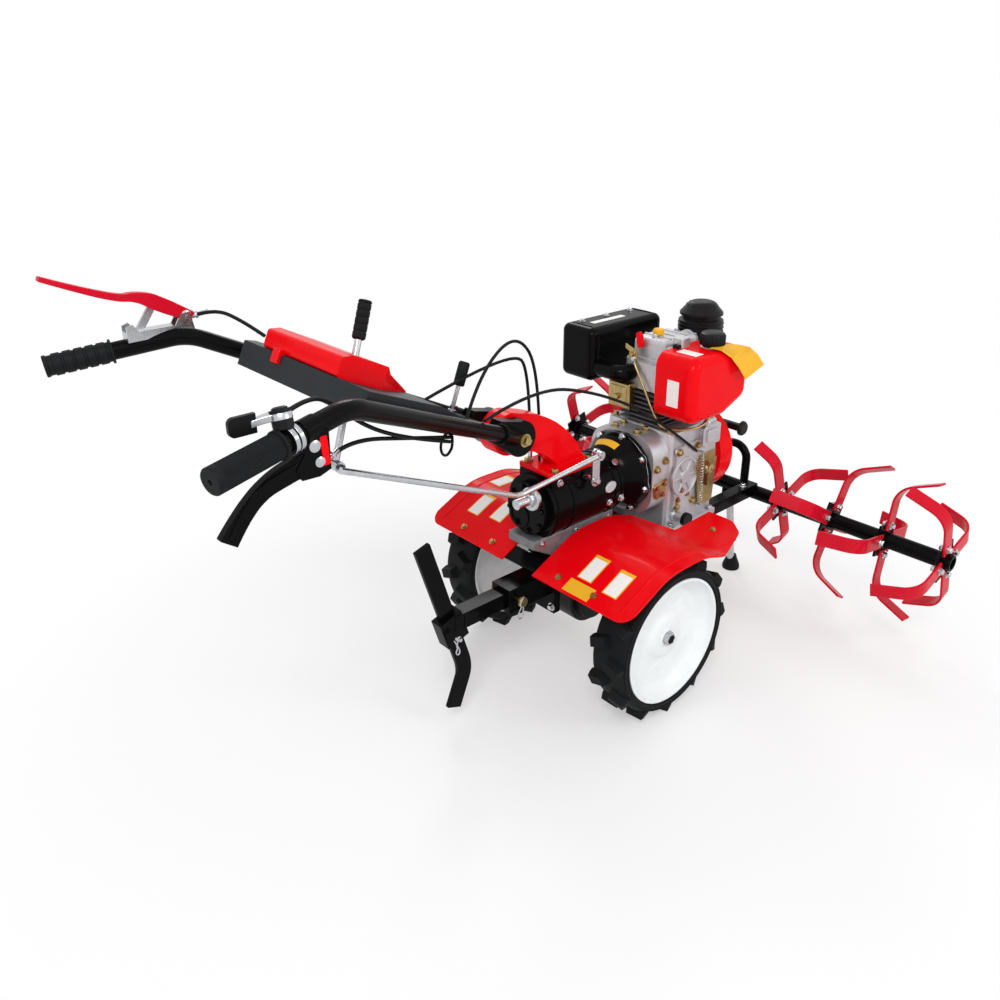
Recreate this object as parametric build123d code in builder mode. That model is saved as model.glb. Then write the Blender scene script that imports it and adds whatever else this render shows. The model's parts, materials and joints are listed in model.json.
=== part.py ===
"""Walk-behind tractor with a stowed tine reel on each side of its nose.

Lengths are in millimetres. +X points forward, +Y to the operator's left, +Z up,
and the ground is z = 0. Positions are given from the wheel axle's middle, and
AXLE_X moves them so that the whole machine is centred over the origin.
"""
import os
from collections import namedtuple
from math import cos, radians, sin

from build123d import *

os.makedirs("parts", exist_ok=True)

# Wheels
AXLE_X = 101.8
AXLE_Z = 200.0
AXLE_FLATS = 30.0
AXLE_HALF = 300.0
RIM_R = 156.8
RIM_WALL = 6.8
RIM_INNER_Y = 222.0
RIM_OUTER_Y = 314.0
DISC_THICK = 6.0
HUB_R = 23.0
HUB_INNER_Y = 110.0
HUB_OUTER_Y = 292.0
TYRE_INNER_Y = 217.0
TYRE_OUTER_Y = 315.0
TYRE_WALL = 25.2
CARCASS_R = RIM_R + TYRE_WALL
BEAD_GAP = 0.2
LUG_HEIGHT = 18.0
LUG_R = CARCASS_R + LUG_HEIGHT
LUG_COUNT = 12
LUG_LENGTH = 50.0
LUG_WIDTH = 34.0
LUG_SLANT = 20.0
LUG_TAPER = 14.0

# Gearbox and engine
CASE_HALF = 45.0
CASE_TOP = 424.0
JOURNAL_R = 18.2
CASE_BORE_R = 18.5
GEAR_Z = 490.0
GEAR_R = 78.0
GEAR_BACK = -165.0
GEAR_FRONT = 70.0
PAD_TOP = 570.0
PTO_Y = -30.0
PTO_Z = 528.0
PTO_R = 12.0
CRANK_Z = 495.0
BELL_R = 100.0
BELL_FRONT = 145.0
CRANKCASE_HALF = 103.0
CRANKCASE_CORNER = 60.0
ENGINE_BACK = 205.0
ENGINE_FRONT = 400.0
ENGINE_HALF = 105.0
ENGINE_BASE = 330.0
DECK_Z = 600.0
FIN_COUNT = 7
FIN_PITCH = 12.0
FIN_THICK = 4.0
HEAD_Z = 690.0
SHROUD_Z = 487.0
SHROUD_R = 122.0
TANK_CORNER = 34.0
TANK_EDGE = 24.0
MUFFLER_Y = 117.0
ELBOW_R = 21.0
FILTER_X = 450.0
FILTER_Y = 12.0

# Front frame, stand and tine reels
ARM_Y = 72.0
ARM_SIZE = 34.0
BAR_X = 650.0
BAR_Z = 300.0
BAR_R = 20.0
STUB_R = 15.0
STUB_END = 640.0
SHOULDER_Y = 138.0
HOOP_Y = 42.0
HOOP_R = 12.0
HOOP_TOP = 430.0
STAND_Z = 262.0
STAND_R = 11.0
FOOT_X = 693.0
REEL_R = 21.0
REEL_BORE_R = 15.3
REEL_INNER_Y = 150.0
REEL_OUTER_Y = 654.0
PLATE_SIZE = 84.0
PLATE_THICK = 6.0
BLADE_WIDTH = 38.0
BLADE_THICK = 6.0
BLADE_ROOT_R = 28.0
BLADE_KNEE_R = 142.0
BLADE_TIP_R = 184.0
BLADE_BEND_R = 60.0

# Hitch and depth stake
BAR_SIZE = 40.0
HITCH_Z = 284.0
STAKE_X = -412.0
STAKE_Z = 270.0
STAKE_LEAN = 17.0
STAKE_WIDTH = 40.0
STAKE_THICK = 11.0
STAKE_BEND_R = 60.0
SOCKET_GAP = 0.5

# Fenders
FENDER_IN = 52.0
FENDER_OUT = 340.0
FENDER_THICK = 3.0
FENDER_GAP = 13.0
FENDER_REAR = 345.0
FENDER_BEND = 190.0
FENDER_CORNER = 36.0

# Handlebar
PIVOT_X = -250.0
PIVOT_Z = 697.1
PIVOT_R = 8.0
HEAD_X = -235.0
HEAD_Z = 690.0
HANDLE_RISE = 25.3
TUBE_R = 16.5
TUBE_START_Y = 46.0
TUBE_BEND = (-795.0, 282.0, 955.0)
TUBE_END = (-1030.0, 336.8, 927.6)
TUBE_BEND_R = 110.0
GRIP_LENGTH = 116.0
GRIP_R = 20.0
RING_R = 21.0
ROD_R = 6.0
SHIFT_X = -48.0
SHIFT_Z = 616.0
CABLE_R = 3.5
LEVER_R = 7.0
LEVER_GRIP_R = 16.0
TRAY_LOW = -18.0
TRAY_HIGH = 28.0
CLUTCH_Y = 298.0
CLUTCH_HALF = 9.0
SIDE_LEVER_Y = 308.0

SIDE = Plane(origin=(AXLE_X, 0, 0), x_dir=(1, 0, 0), z_dir=(0, -1, 0))
FRONT = Plane(origin=(AXLE_X, 0, 0), x_dir=(0, 1, 0), z_dir=(1, 0, 0))
TOP = Plane(origin=(AXLE_X, 0, 0), x_dir=(1, 0, 0), z_dir=(0, 0, 1))


def at(x, y, z):
    """A point given from the axle's middle."""
    return Vector(AXLE_X + x, y, z)


def block(xs, ys, zs, mode=Mode.ADD):
    """A box between two x, two y and two z values."""
    with Locations(at((xs[0] + xs[1]) / 2, (ys[0] + ys[1]) / 2, (zs[0] + zs[1]) / 2)):
        Box(xs[1] - xs[0], ys[1] - ys[0], zs[1] - zs[0], mode=mode)


def drum(start, end, radius, mode=Mode.ADD):
    """A cylinder between two points."""
    line = end - start
    with Locations(Plane(origin=(start + end) / 2, z_dir=line)):
        Cylinder(radius, line.length, mode=mode)


def tube_along(points, radius, bend):
    """A round rod that follows the points, rounded where it turns."""
    with BuildPart() as rod:
        with BuildLine() as path:
            FilletPolyline(*points, radius=bend)
        with BuildSketch(Plane(origin=path.line @ 0, z_dir=path.line % 0)):
            Circle(radius)
        sweep()
    return rod.part


def mirrored(source):
    """The same piece on the machine's other side."""
    with BuildPart() as other:
        mirror(source.part, about=Plane.XZ)
    return other


AXLE = Axis(at(0, 0, AXLE_Z), (0, 1, 0))

# Wheelset: one through-axle carries both wheels
with BuildPart() as axle_shaft:
    with BuildSketch(SIDE):
        with Locations((0, AXLE_Z)):
            RegularPolygon(AXLE_FLATS / 2, 6, major_radius=False)
    extrude(amount=AXLE_HALF, both=True)
    drum(at(0, -66, AXLE_Z), at(0, 66, AXLE_Z), JOURNAL_R)

with BuildPart() as wheel_left:
    with BuildSketch(FRONT):
        with Locations(((RIM_INNER_Y + RIM_OUTER_Y) / 2, AXLE_Z + RIM_R - RIM_WALL / 2)):
            Rectangle(RIM_OUTER_Y - RIM_INNER_Y, RIM_WALL)
        with Locations((0, AXLE_Z)):
            Polygon(
                (RIM_OUTER_Y, RIM_R - RIM_WALL), (RIM_OUTER_Y - 12, RIM_R - RIM_WALL - 3),
                (RIM_OUTER_Y - 34, RIM_R - 35), (RIM_OUTER_Y - 36, 62), (HUB_OUTER_Y - 2, 44),
                (HUB_OUTER_Y - 2, 10), (HUB_OUTER_Y - 24, 10), (HUB_OUTER_Y - 24, 40),
                (RIM_OUTER_Y - 36 - DISC_THICK, 60), (RIM_OUTER_Y - 34 - DISC_THICK, RIM_R - 33),
                (RIM_OUTER_Y - 18, RIM_R - RIM_WALL), align=None,
            )
    revolve(axis=AXLE)
    drum(at(0, HUB_INNER_Y, AXLE_Z), at(0, HUB_OUTER_Y, AXLE_Z), HUB_R)
    with BuildSketch(SIDE):
        with Locations((0, AXLE_Z)):
            RegularPolygon(AXLE_FLATS / 2 + 0.2, 6, major_radius=False)
    extrude(amount=-HUB_OUTER_Y - 10, mode=Mode.SUBTRACT)

with BuildPart() as tyre_left:
    with BuildSketch(FRONT):
        with Locations((0, AXLE_Z)):
            Polygon(
                (TYRE_INNER_Y + 5, RIM_R + BEAD_GAP), (TYRE_INNER_Y, RIM_R + 7),
                (TYRE_INNER_Y + 2, CARCASS_R - 6), (TYRE_INNER_Y + 11, CARCASS_R),
                (TYRE_OUTER_Y - 11, CARCASS_R), (TYRE_OUTER_Y - 2, CARCASS_R - 6),
                (TYRE_OUTER_Y, RIM_R + 7), (TYRE_OUTER_Y - 5, RIM_R + BEAD_GAP), align=None,
            )
    revolve(axis=AXLE)
    lug_shift = (TYRE_OUTER_Y - TYRE_INNER_Y) / 4 - 2
    for side, turn in ((1, 0.0), (-1, 0.5)):
        slant = side * LUG_SLANT
        y_mid = (TYRE_INNER_Y + TYRE_OUTER_Y) / 2 + side * lug_shift
        for lug in range(LUG_COUNT):
            turned = radians(-90 + (lug + turn) * 360 / LUG_COUNT)
            out = Vector(cos(turned), 0, sin(turned))
            foot = at(0, y_mid, AXLE_Z) + out * (CARCASS_R - 4)
            with BuildSketch(Plane(origin=foot, x_dir=(0, 1, 0), z_dir=out)):
                Rectangle(LUG_LENGTH, LUG_WIDTH, rotation=slant)
            extrude(amount=LUG_R - CARCASS_R + 4, taper=LUG_TAPER)
    block((-250, 250), (TYRE_OUTER_Y, TYRE_OUTER_Y + 30), (-50, 450), Mode.SUBTRACT)
    block((-250, 250), (TYRE_INNER_Y - 30, TYRE_INNER_Y), (-50, 450), Mode.SUBTRACT)

wheel_right = mirrored(wheel_left)
tyre_right = mirrored(tyre_left)

# Transmission
with BuildPart() as final_drive_case:
    with BuildSketch(SIDE):
        with Locations((0, AXLE_Z)):
            Circle(68)
        Polygon(
            (-68, AXLE_Z), (68, AXLE_Z), (72, 300), (72, CASE_TOP), (-198, CASE_TOP),
            (-198, 402), (-118, 356), (-70, 325), align=None,
        )
    extrude(amount=CASE_HALF, both=True)
    fillet(final_drive_case.edges().group_by(Axis.Y)[0] + final_drive_case.edges().group_by(Axis.Y)[-1], 6)
    drum(at(0, -62, AXLE_Z), at(0, 62, AXLE_Z), 52)
    drum(at(0, -70, AXLE_Z), at(0, 70, AXLE_Z), CASE_BORE_R, Mode.SUBTRACT)

with BuildPart() as gearbox_case:
    with BuildSketch(FRONT.offset(GEAR_BACK)):
        with Locations((0, GEAR_Z)):
            Circle(GEAR_R)
        with Locations((0, CASE_TOP - 50)):
            Rectangle(200, 100, mode=Mode.SUBTRACT)
    extrude(amount=GEAR_FRONT - GEAR_BACK)
    drum(at(GEAR_BACK - 18, 0, GEAR_Z), at(GEAR_BACK, 0, GEAR_Z), 62)
    block((-152, -8), (-54, 54), (540, PAD_TOP))

with BuildPart() as pto_shaft:
    drum(at(-195, PTO_Y, PTO_Z), at(-183, PTO_Y, PTO_Z), 22)
    drum(at(-240, PTO_Y, PTO_Z), at(-195, PTO_Y, PTO_Z), PTO_R)

with BuildPart() as clutch_bell:
    with BuildSketch(SIDE):
        with Locations((0, CRANK_Z)):
            Polygon(
                (GEAR_FRONT, 0), (GEAR_FRONT, BELL_R - 40), (86, BELL_R - 24), (112, BELL_R - 8),
                (BELL_FRONT - 20, BELL_R), (BELL_FRONT, BELL_R), (BELL_FRONT, 0), align=None,
            )
    revolve(axis=Axis(at(0, 0, CRANK_Z), (1, 0, 0)))

with BuildPart() as shift_arm:
    drum(at(SHIFT_X, -57.6, 550), at(SHIFT_X, -92, 550), 9)
    block((SHIFT_X - 12, SHIFT_X + 12), (-92, -86), (550, SHIFT_Z))
    drum(at(SHIFT_X, -92, 550), at(SHIFT_X, -86, 550), 14)
    drum(at(SHIFT_X, -92, SHIFT_Z), at(SHIFT_X, -86, SHIFT_Z), 12)
    drum(at(SHIFT_X, -112, SHIFT_Z), at(SHIFT_X, -86, SHIFT_Z), ROD_R)

with BuildPart() as handle_bracket:
    with BuildSketch(SIDE):
        with BuildLine():
            ThreePointArc((-18, 582), (-139, 708), (-262, 743))
            Line((-262, 743), (-250, 650))
            ThreePointArc((-250, 650), (-164, 630), (-105, 582))
            Line((-105, 582), (-18, 582))
        make_face()
        with Locations((PIVOT_X, PIVOT_Z)):
            Circle(48)
    extrude(amount=24, both=True)
    block((-150, -10), (-58, 58), (PAD_TOP, 582))
    drum(at(PIVOT_X, -30, PIVOT_Z), at(PIVOT_X, 30, PIVOT_Z), PIVOT_R + 0.3, Mode.SUBTRACT)

# Engine
with BuildPart() as engine_block:
    block((ENGINE_BACK, ENGINE_FRONT), (-ENGINE_HALF, ENGINE_HALF), (345, DECK_Z))
    fillet(engine_block.edges().filter_by(Axis.Z), 14)
    fillet(engine_block.faces().sort_by(Axis.Z)[-1].edges(), 8)
    block((ENGINE_BACK, ENGINE_FRONT), (-118, 118), (ENGINE_BASE, 345))
    block((225, 385), (-112, -ENGINE_HALF), (385, 560))
    with BuildSketch(FRONT.offset(BELL_FRONT)):
        with Locations((0, CRANK_Z)):
            RectangleRounded(2 * CRANKCASE_HALF, 2 * CRANKCASE_HALF, CRANKCASE_CORNER)
    extrude(amount=ENGINE_BACK - BELL_FRONT)

with BuildPart() as engine_cylinder:
    block((228, 362), (-52, 52), (DECK_Z, HEAD_Z))
    for fin in range(FIN_COUNT):
        low = DECK_Z + 6 + fin * FIN_PITCH
        block((208, 382), (-66, 66), (low, low + FIN_THICK))

with BuildPart() as engine_head:
    block((212, 378), (-62, 62), (HEAD_Z, 758))
    fillet(engine_head.edges().filter_by(Axis.Z), 12)
    block((240, 340), (-78, -60), (700, 745))
    block((232, 352), (-48, 48), (758, 818))
    fillet(engine_head.faces().sort_by(Axis.Z)[-1].edges(), 14)

with BuildPart() as exhaust_shield:
    block((183, 208), (18, 88), (637, 704))
    fillet(exhaust_shield.faces().sort_by(Axis.X)[0].edges(), 6)

with BuildPart() as muffler:
    block((150, 425), (MUFFLER_Y, 230), (692, 830))
    fillet(muffler.edges(), 20)

with BuildPart() as exhaust_elbow:
    elbow_x = ENGINE_BACK - 27
    add(tube_along([at(212, 40, 728), at(elbow_x, 40, 728), at(elbow_x, MUFFLER_Y, 728)], ELBOW_R, ELBOW_R + 4))

with BuildPart() as air_filter:
    with BuildSketch(Plane(origin=at(FILTER_X, FILTER_Y, 0), x_dir=(1, 0, 0), z_dir=(0, -1, 0))):
        Polygon(
            (0, 695), (22, 695), (22, 765), (48, 772), (58, 784), (58, 828), (50, 834),
            (50, 840), (56, 842), (56, 848), (34, 873), (26, 876), (0, 876), align=None,
        )
    revolve(axis=Axis(at(FILTER_X, FILTER_Y, 0), (0, 0, 1)))
    drum(at(378, FILTER_Y, 716), at(FILTER_X - 5, FILTER_Y, 716), 17)

with BuildPart() as fuel_tank:
    with BuildSketch(SIDE.offset(78)):
        Polygon((163, 650), (300, 650), (386, 684), (386, 812), (163, 812), align=None)
    extrude(amount=112)
    fillet(fuel_tank.edges().filter_by(Axis.Y), TANK_CORNER)
    fillet(fuel_tank.faces().sort_by(Axis.Y)[0].edges(), TANK_EDGE)

with BuildPart() as tank_cap:
    drum(at(300, -135, 812), at(300, -135, 820), 24)
    drum(at(300, -135, 820), at(300, -135, 848), 31)

with BuildPart() as fan_shroud:
    with BuildSketch(SIDE):
        with Locations((0, SHROUD_Z)):
            Polygon(
                (ENGINE_FRONT, 0), (ENGINE_FRONT, SHROUD_R), (452, SHROUD_R),
                (470, 102), (470, 0), align=None,
            )
    revolve(axis=Axis(at(0, 0, SHROUD_Z), (1, 0, 0)))

with BuildPart() as recoil_grip:
    drum(at(470, -74, 548), at(484, -74, 548), 8)
    block((484, 502), (-110, -40), (538, 558))
    fillet(recoil_grip.edges().filter_by(Axis.Y), 6)

with BuildPart() as governor_plate:
    block((318, 384), (-116, -112), (402, 518))
    block((340, 352), (-128, -116), (430, 500))

with BuildPart() as oil_filler:
    drum(at(240, -ENGINE_HALF, 372), at(240, -138, 372), 11)
    drum(at(240, -138, 372), at(240, -150, 372), 18)

# Front frame
with BuildPart() as frame_plate:
    block((72, 82), (-95, 95), (290, 400))

with BuildPart() as frame_arm_left:
    block((82, BAR_X), (ARM_Y - ARM_SIZE / 2, ARM_Y + ARM_SIZE / 2), (ENGINE_BASE - ARM_SIZE, ENGINE_BASE))
    drum(at(BAR_X, 0, BAR_Z), at(BAR_X, 200, BAR_Z), BAR_R + 0.1, Mode.SUBTRACT)

frame_arm_right = mirrored(frame_arm_left)

with BuildPart() as carrier_bar:
    drum(at(BAR_X, -SHOULDER_Y, BAR_Z), at(BAR_X, SHOULDER_Y, BAR_Z), BAR_R)
    drum(at(BAR_X, -STUB_END, BAR_Z), at(BAR_X, STUB_END, BAR_Z), STUB_R)
    for inner, outer in ((14, 20), (-20, -14)):
        block((BAR_X - 15, BAR_X + 15), (inner, outer), (STAND_Z - 14, BAR_Z - 10))
    drum(at(BAR_X, -24, STAND_Z), at(BAR_X, 24, STAND_Z), 5)

with BuildPart() as front_hoop:
    add(
        tube_along(
            [at(BAR_X, -HOOP_Y, BAR_Z), at(BAR_X, -HOOP_Y, HOOP_TOP), at(BAR_X, HOOP_Y, HOOP_TOP),
             at(BAR_X, HOOP_Y, BAR_Z)],
            HOOP_R, HOOP_Y - 2,
        )
    )
    drum(at(BAR_X, -100, BAR_Z), at(BAR_X, 100, BAR_Z), BAR_R + 0.1, Mode.SUBTRACT)

with BuildPart() as stand_leg:
    drum(at(BAR_X, 0, STAND_Z), at(FOOT_X, 0, 4), STAND_R)
    drum(at(BAR_X, -12.5, STAND_Z), at(BAR_X, 12.5, STAND_Z), 14)
    with BuildSketch(SIDE):
        Polygon((FOOT_X, 0), (FOOT_X + 24, 0), (FOOT_X + 24, 10), (FOOT_X + 12, 34), (FOOT_X, 34), align=None)
    revolve(axis=Axis(at(FOOT_X, 0, 0), (0, 0, 1)))
    drum(at(BAR_X, -20, STAND_Z), at(BAR_X, 20, STAND_Z), 5.3, Mode.SUBTRACT)
    block((FOOT_X - 60, FOOT_X + 60), (-60, 60), (-40, 0), Mode.SUBTRACT)

# Tine reels
Plate = namedtuple("Plate", "y phase even_reach odd_reach")
PLATES = (
    Plate(165, 20, 100, -58),
    Plate(322, 60, 100, -100),
    Plate(476, 80, 100, -100),
    Plate(632, 17, -100, -100),
)

with BuildPart() as tine_shaft_left:
    drum(at(BAR_X, REEL_INNER_Y, BAR_Z), at(BAR_X, REEL_OUTER_Y, BAR_Z), REEL_R)
    for plate in PLATES:
        middle = at(BAR_X, plate.y, BAR_Z)
        with BuildSketch(Plane(origin=middle, x_dir=(1, 0, 0), z_dir=(0, -1, 0))):
            Rectangle(PLATE_SIZE, PLATE_SIZE, rotation=plate.phase)
        extrude(amount=PLATE_THICK / 2, both=True)
    drum(at(BAR_X, 100, BAR_Z), at(BAR_X, 700, BAR_Z), REEL_BORE_R, Mode.SUBTRACT)

with BuildPart() as tine_blades_left:
    for plate in PLATES:
        for blade in range(4):
            turned = radians(plate.phase + 90 * blade)
            out = Vector(cos(turned), 0, sin(turned))
            reach = plate.odd_reach if blade % 2 else plate.even_reach
            root = at(BAR_X, plate.y + (PLATE_THICK + BLADE_THICK) / 2, BAR_Z)
            with BuildSketch(Plane(origin=root, x_dir=(0, 1, 0), z_dir=Vector(0, 1, 0).cross(out))):
                with BuildLine():
                    FilletPolyline(
                        (0, BLADE_ROOT_R), (0, BLADE_KNEE_R), (reach, BLADE_TIP_R), radius=BLADE_BEND_R
                    )
                trace(line_width=BLADE_THICK)
            extrude(amount=BLADE_WIDTH / 2, both=True)

tine_shaft_right = mirrored(tine_shaft_left)
tine_blades_right = mirrored(tine_blades_left)

# Fenders
FENDER_TOP = AXLE_Z + LUG_R + FENDER_GAP
FENDER_LINE = (
    (-213, FENDER_REAR), (-72, FENDER_TOP), (52, FENDER_TOP), (136, FENDER_TOP - 29), (292, FENDER_TOP - 23),
)
with BuildPart() as fender_left:
    with BuildSketch(SIDE.offset(-FENDER_OUT)):
        with BuildLine():
            FilletPolyline(*FENDER_LINE, radius=FENDER_BEND)
        trace(line_width=FENDER_THICK)
    extrude(amount=FENDER_OUT - FENDER_IN)
    with BuildSketch(TOP):
        outline = Polygon(
            (-211, FENDER_IN), (126, FENDER_IN), (150, 178), (288, 178), (288, 250),
            (250, 296), (128, FENDER_OUT), (-211, FENDER_OUT), align=None,
        )
        outer_corners = [corner for corner in outline.vertices() if corner.Y > 200]
        fillet(outer_corners, FENDER_CORNER)
    extrude(amount=600, mode=Mode.INTERSECT)

fender_right = mirrored(fender_left)

with BuildPart() as fender_stays:
    for inner, outer in ((70, 300), (-300, -70)):
        with BuildSketch(SIDE.offset(-outer)):
            with Locations((0, FENDER_TOP)):
                Polygon((96, -16.8), (124, -26.5), (124, -32), (96, -22.3), align=None)
        extrude(amount=outer - inner)
        side = 1 if outer > 0 else -1
        block((82, 112), sorted((side * 70, side * 94)), (FENDER_TOP - 35, FENDER_TOP - 25))
    with BuildSketch(SIDE):
        with Locations((0, FENDER_REAR)):
            Polygon((-200, 4.6), (-164, 21.9), (-164, 16), (-200, -1.3), align=None)
    extrude(amount=300, both=True)
    block((-184, -131), (-25, 25), (FENDER_REAR - 7, FENDER_REAR + 3))

# Hitch and depth stake
with BuildPart() as hitch_bracket:
    block((-262, -70), (-31, 31), (HITCH_Z - 31, HITCH_Z + 31))
    block((-131, -111), (-46, 46), (205, 349))
    block((-300, -112), (-20.2, 20.2), (HITCH_Z - 20.2, HITCH_Z + 20.2), Mode.SUBTRACT)
    drum(at(-236, -60, HITCH_Z), at(-236, 60, HITCH_Z), 6.2, Mode.SUBTRACT)

STAKE = Plane(
    origin=at(STAKE_X, 0, STAKE_Z),
    x_dir=(cos(radians(STAKE_LEAN)), 0, sin(radians(STAKE_LEAN))),
    z_dir=(0, -1, 0),
)
with BuildPart() as drawbar:
    block((STAKE_X, -112), (-20, 20), (HITCH_Z - 20, HITCH_Z + 20))
    with BuildSketch(STAKE):
        Rectangle(62, 72)
    extrude(amount=17, both=True)
    with BuildSketch(STAKE):
        Rectangle(STAKE_WIDTH + 2 * SOCKET_GAP, 260)
    extrude(amount=STAKE_THICK / 2 + SOCKET_GAP, both=True, mode=Mode.SUBTRACT)
    drum(at(-236, -60, HITCH_Z), at(-236, 60, HITCH_Z), 6.2, Mode.SUBTRACT)

with BuildPart() as hitch_pin:
    drum(at(-236, -46, HITCH_Z), at(-236, 46, HITCH_Z), 6)
    drum(at(-236, -46, HITCH_Z), at(-236, -40, HITCH_Z), 10)

with BuildPart() as depth_stake:
    with BuildSketch(STAKE):
        with BuildLine():
            FilletPolyline((0, 235), (0, -118), (-64, -209), radius=STAKE_BEND_R)
        trace(line_width=STAKE_WIDTH)
    extrude(amount=STAKE_THICK / 2, both=True)

# Handlebar
RISE = radians(HANDLE_RISE)
HANDLE = Plane(origin=at(HEAD_X, 0, HEAD_Z), x_dir=(-cos(RISE), 0, sin(RISE)), z_dir=(sin(RISE), 0, cos(RISE)))
HANDLE_SIDE = Plane(origin=at(HEAD_X, 0, HEAD_Z), x_dir=(-cos(RISE), 0, sin(RISE)), z_dir=(0, 1, 0))
TUBE_POINTS = (at(PIVOT_X, TUBE_START_Y, PIVOT_Z), at(*TUBE_BEND), at(*TUBE_END))
GRIP_DIR = (TUBE_POINTS[2] - TUBE_POINTS[1]).normalized()


def along_grip(distance, side):
    """A point on the handle's rear run, measured back from its bend."""
    point = TUBE_POINTS[1] + GRIP_DIR * distance
    return Vector(point.X, side * point.Y, point.Z)


def tube_cut(side):
    """Clear a piece of the handle tube that passes through it."""
    points = [Vector(p.X, side * p.Y, p.Z) for p in TUBE_POINTS]
    add(tube_along(points, TUBE_R + 0.2, TUBE_BEND_R), mode=Mode.SUBTRACT)


TUBE_RUN = (TUBE_POINTS[2] - TUBE_POINTS[1]).length

with BuildPart() as handle_tube_left:
    add(tube_along(TUBE_POINTS, TUBE_R, TUBE_BEND_R))
    drum(at(PIVOT_X, 26, PIVOT_Z), at(PIVOT_X, 46, PIVOT_Z), 37)
    drum(at(PIVOT_X, 0, PIVOT_Z), at(PIVOT_X, 90, PIVOT_Z), PIVOT_R + 0.2, Mode.SUBTRACT)
    drum(at(PIVOT_X, 60, PIVOT_Z), at(PIVOT_X, 90, PIVOT_Z), 14, Mode.SUBTRACT)

handle_tube_right = mirrored(handle_tube_left)

with BuildPart() as pivot_bolt:
    drum(at(PIVOT_X, -70, PIVOT_Z), at(PIVOT_X, 70, PIVOT_Z), PIVOT_R)
    for side in (-1, 1):
        drum(at(PIVOT_X, side * 60.2, PIVOT_Z), at(PIVOT_X, side * 70, PIVOT_Z), 13)

with BuildPart() as handle_plate:
    with BuildSketch(HANDLE):
        Polygon((95, -58), (150, -79), (150, 79), (95, 58), align=None)
    extrude(amount=9)

LEVER_FOOT = at(-722, -99, 786)
LEVER_TOP = at(-607, -50, 1046)
LEVER_LINE = LEVER_TOP - LEVER_FOOT
GRIP_FOOT = LEVER_FOOT + LEVER_LINE * 0.72

with BuildPart() as gear_lever:
    drum(LEVER_FOOT, LEVER_TOP - LEVER_LINE * 0.02, LEVER_R)
    drum(LEVER_FOOT - Vector(0, 18, 0), LEVER_FOOT + Vector(0, 18, 0), 10)
    drum(GRIP_FOOT, LEVER_TOP, LEVER_GRIP_R)

with BuildPart() as console_tray:
    with BuildSketch(HANDLE.offset(TRAY_LOW)):
        Polygon((205, -101.5), (515, -222.8), (575, -150), (565, 242.4), (205, 101.5), align=None)
    extrude(amount=TRAY_HIGH - TRAY_LOW)
    with BuildSketch(HANDLE.offset(TRAY_LOW)):
        Polygon((211, -95), (510, -212), (569, -147), (559, 234), (211, 95), align=None)
    extrude(amount=TRAY_HIGH - TRAY_LOW - 4, mode=Mode.SUBTRACT)
    with BuildSketch(HANDLE_SIDE):
        Polygon((195, 10), (195, 60), (400, 60), (340, TRAY_HIGH), align=None)
    extrude(amount=300, both=True, mode=Mode.SUBTRACT)
    drum(LEVER_FOOT, LEVER_TOP, LEVER_R + 0.2, Mode.SUBTRACT)

with BuildPart() as console_cover:
    with BuildSketch(HANDLE_SIDE):
        Polygon((350, TRAY_HIGH), (350, 31), (450, 56), (468, 68), (545, 70), (566, 62), (566, TRAY_HIGH), align=None)
    extrude(amount=170, both=True)
    with BuildSketch(HANDLE):
        Polygon((345, -34), (450, -50), (470, -92), (570, -97), (570, 150), (470, 145), (345, 54), align=None)
    extrude(amount=120, mode=Mode.INTERSECT)
    fillet(console_cover.edges().group_by(SortBy.LENGTH)[-1], 6)
    drum(LEVER_FOOT, LEVER_TOP, LEVER_R + 6, Mode.SUBTRACT)

grips = {}
for name, side in (("grip_left", 1), ("grip_right", -1)):
    with BuildPart() as grips[name]:
        drum(along_grip(TUBE_RUN - GRIP_LENGTH + 6, side), along_grip(TUBE_RUN + 6, side), GRIP_R)
        tube_cut(side)

CLUTCH_SIDE = SIDE.offset(-CLUTCH_Y)
with BuildPart() as clutch_bracket:
    with BuildSketch(CLUTCH_SIDE):
        Polygon((-902, 956), (-902, 984), (-890, 988), (-880, 974), (-812, 974), (-800, 994), (-782, 996),
                (-776, 960), align=None)
    extrude(amount=CLUTCH_HALF + 4, both=True)
    with BuildSketch(CLUTCH_SIDE):
        Polygon((-910, 974), (-910, 1000), (-890, 1000), (-770, 1000), (-770, 974), align=None)
    extrude(amount=CLUTCH_HALF + 0.3, both=True, mode=Mode.SUBTRACT)
    with BuildSketch(CLUTCH_SIDE):
        Polygon((-885, 972), (-868, 972), (-840, 1011), (-852, 1017.8), align=None)
    extrude(amount=3, both=True)
    drum(at(-788, CLUTCH_Y - 14, 986), at(-788, CLUTCH_Y + 14, 986), 4)
    tube_cut(1)

with BuildPart() as clutch_lever:
    with BuildSketch(CLUTCH_SIDE):
        with BuildLine():
            FilletPolyline((-779, 985), (-868, 1036), (-914, 1037), (-1027, 1088), radius=30)
        trace(line_width=15)
    extrude(amount=CLUTCH_HALF, both=True)
    drum(at(-788, CLUTCH_Y - 20, 986), at(-788, CLUTCH_Y + 20, 986), 4.2, Mode.SUBTRACT)

with BuildPart() as throttle_lever:
    drum(along_grip(104, -1), along_grip(122, -1), RING_R)
    drum(at(-911, -305, 958), at(-911, -297, 984), 15)
    drum(at(-911, -298, 977), at(-946, -286, 970), 4.5)
    block((-982, -942), (-289, -282), (956, 984))
    fillet(throttle_lever.faces().sort_by(Axis.X)[0].edges().filter_by(Axis.Y), 9)
    tube_cut(-1)

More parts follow.
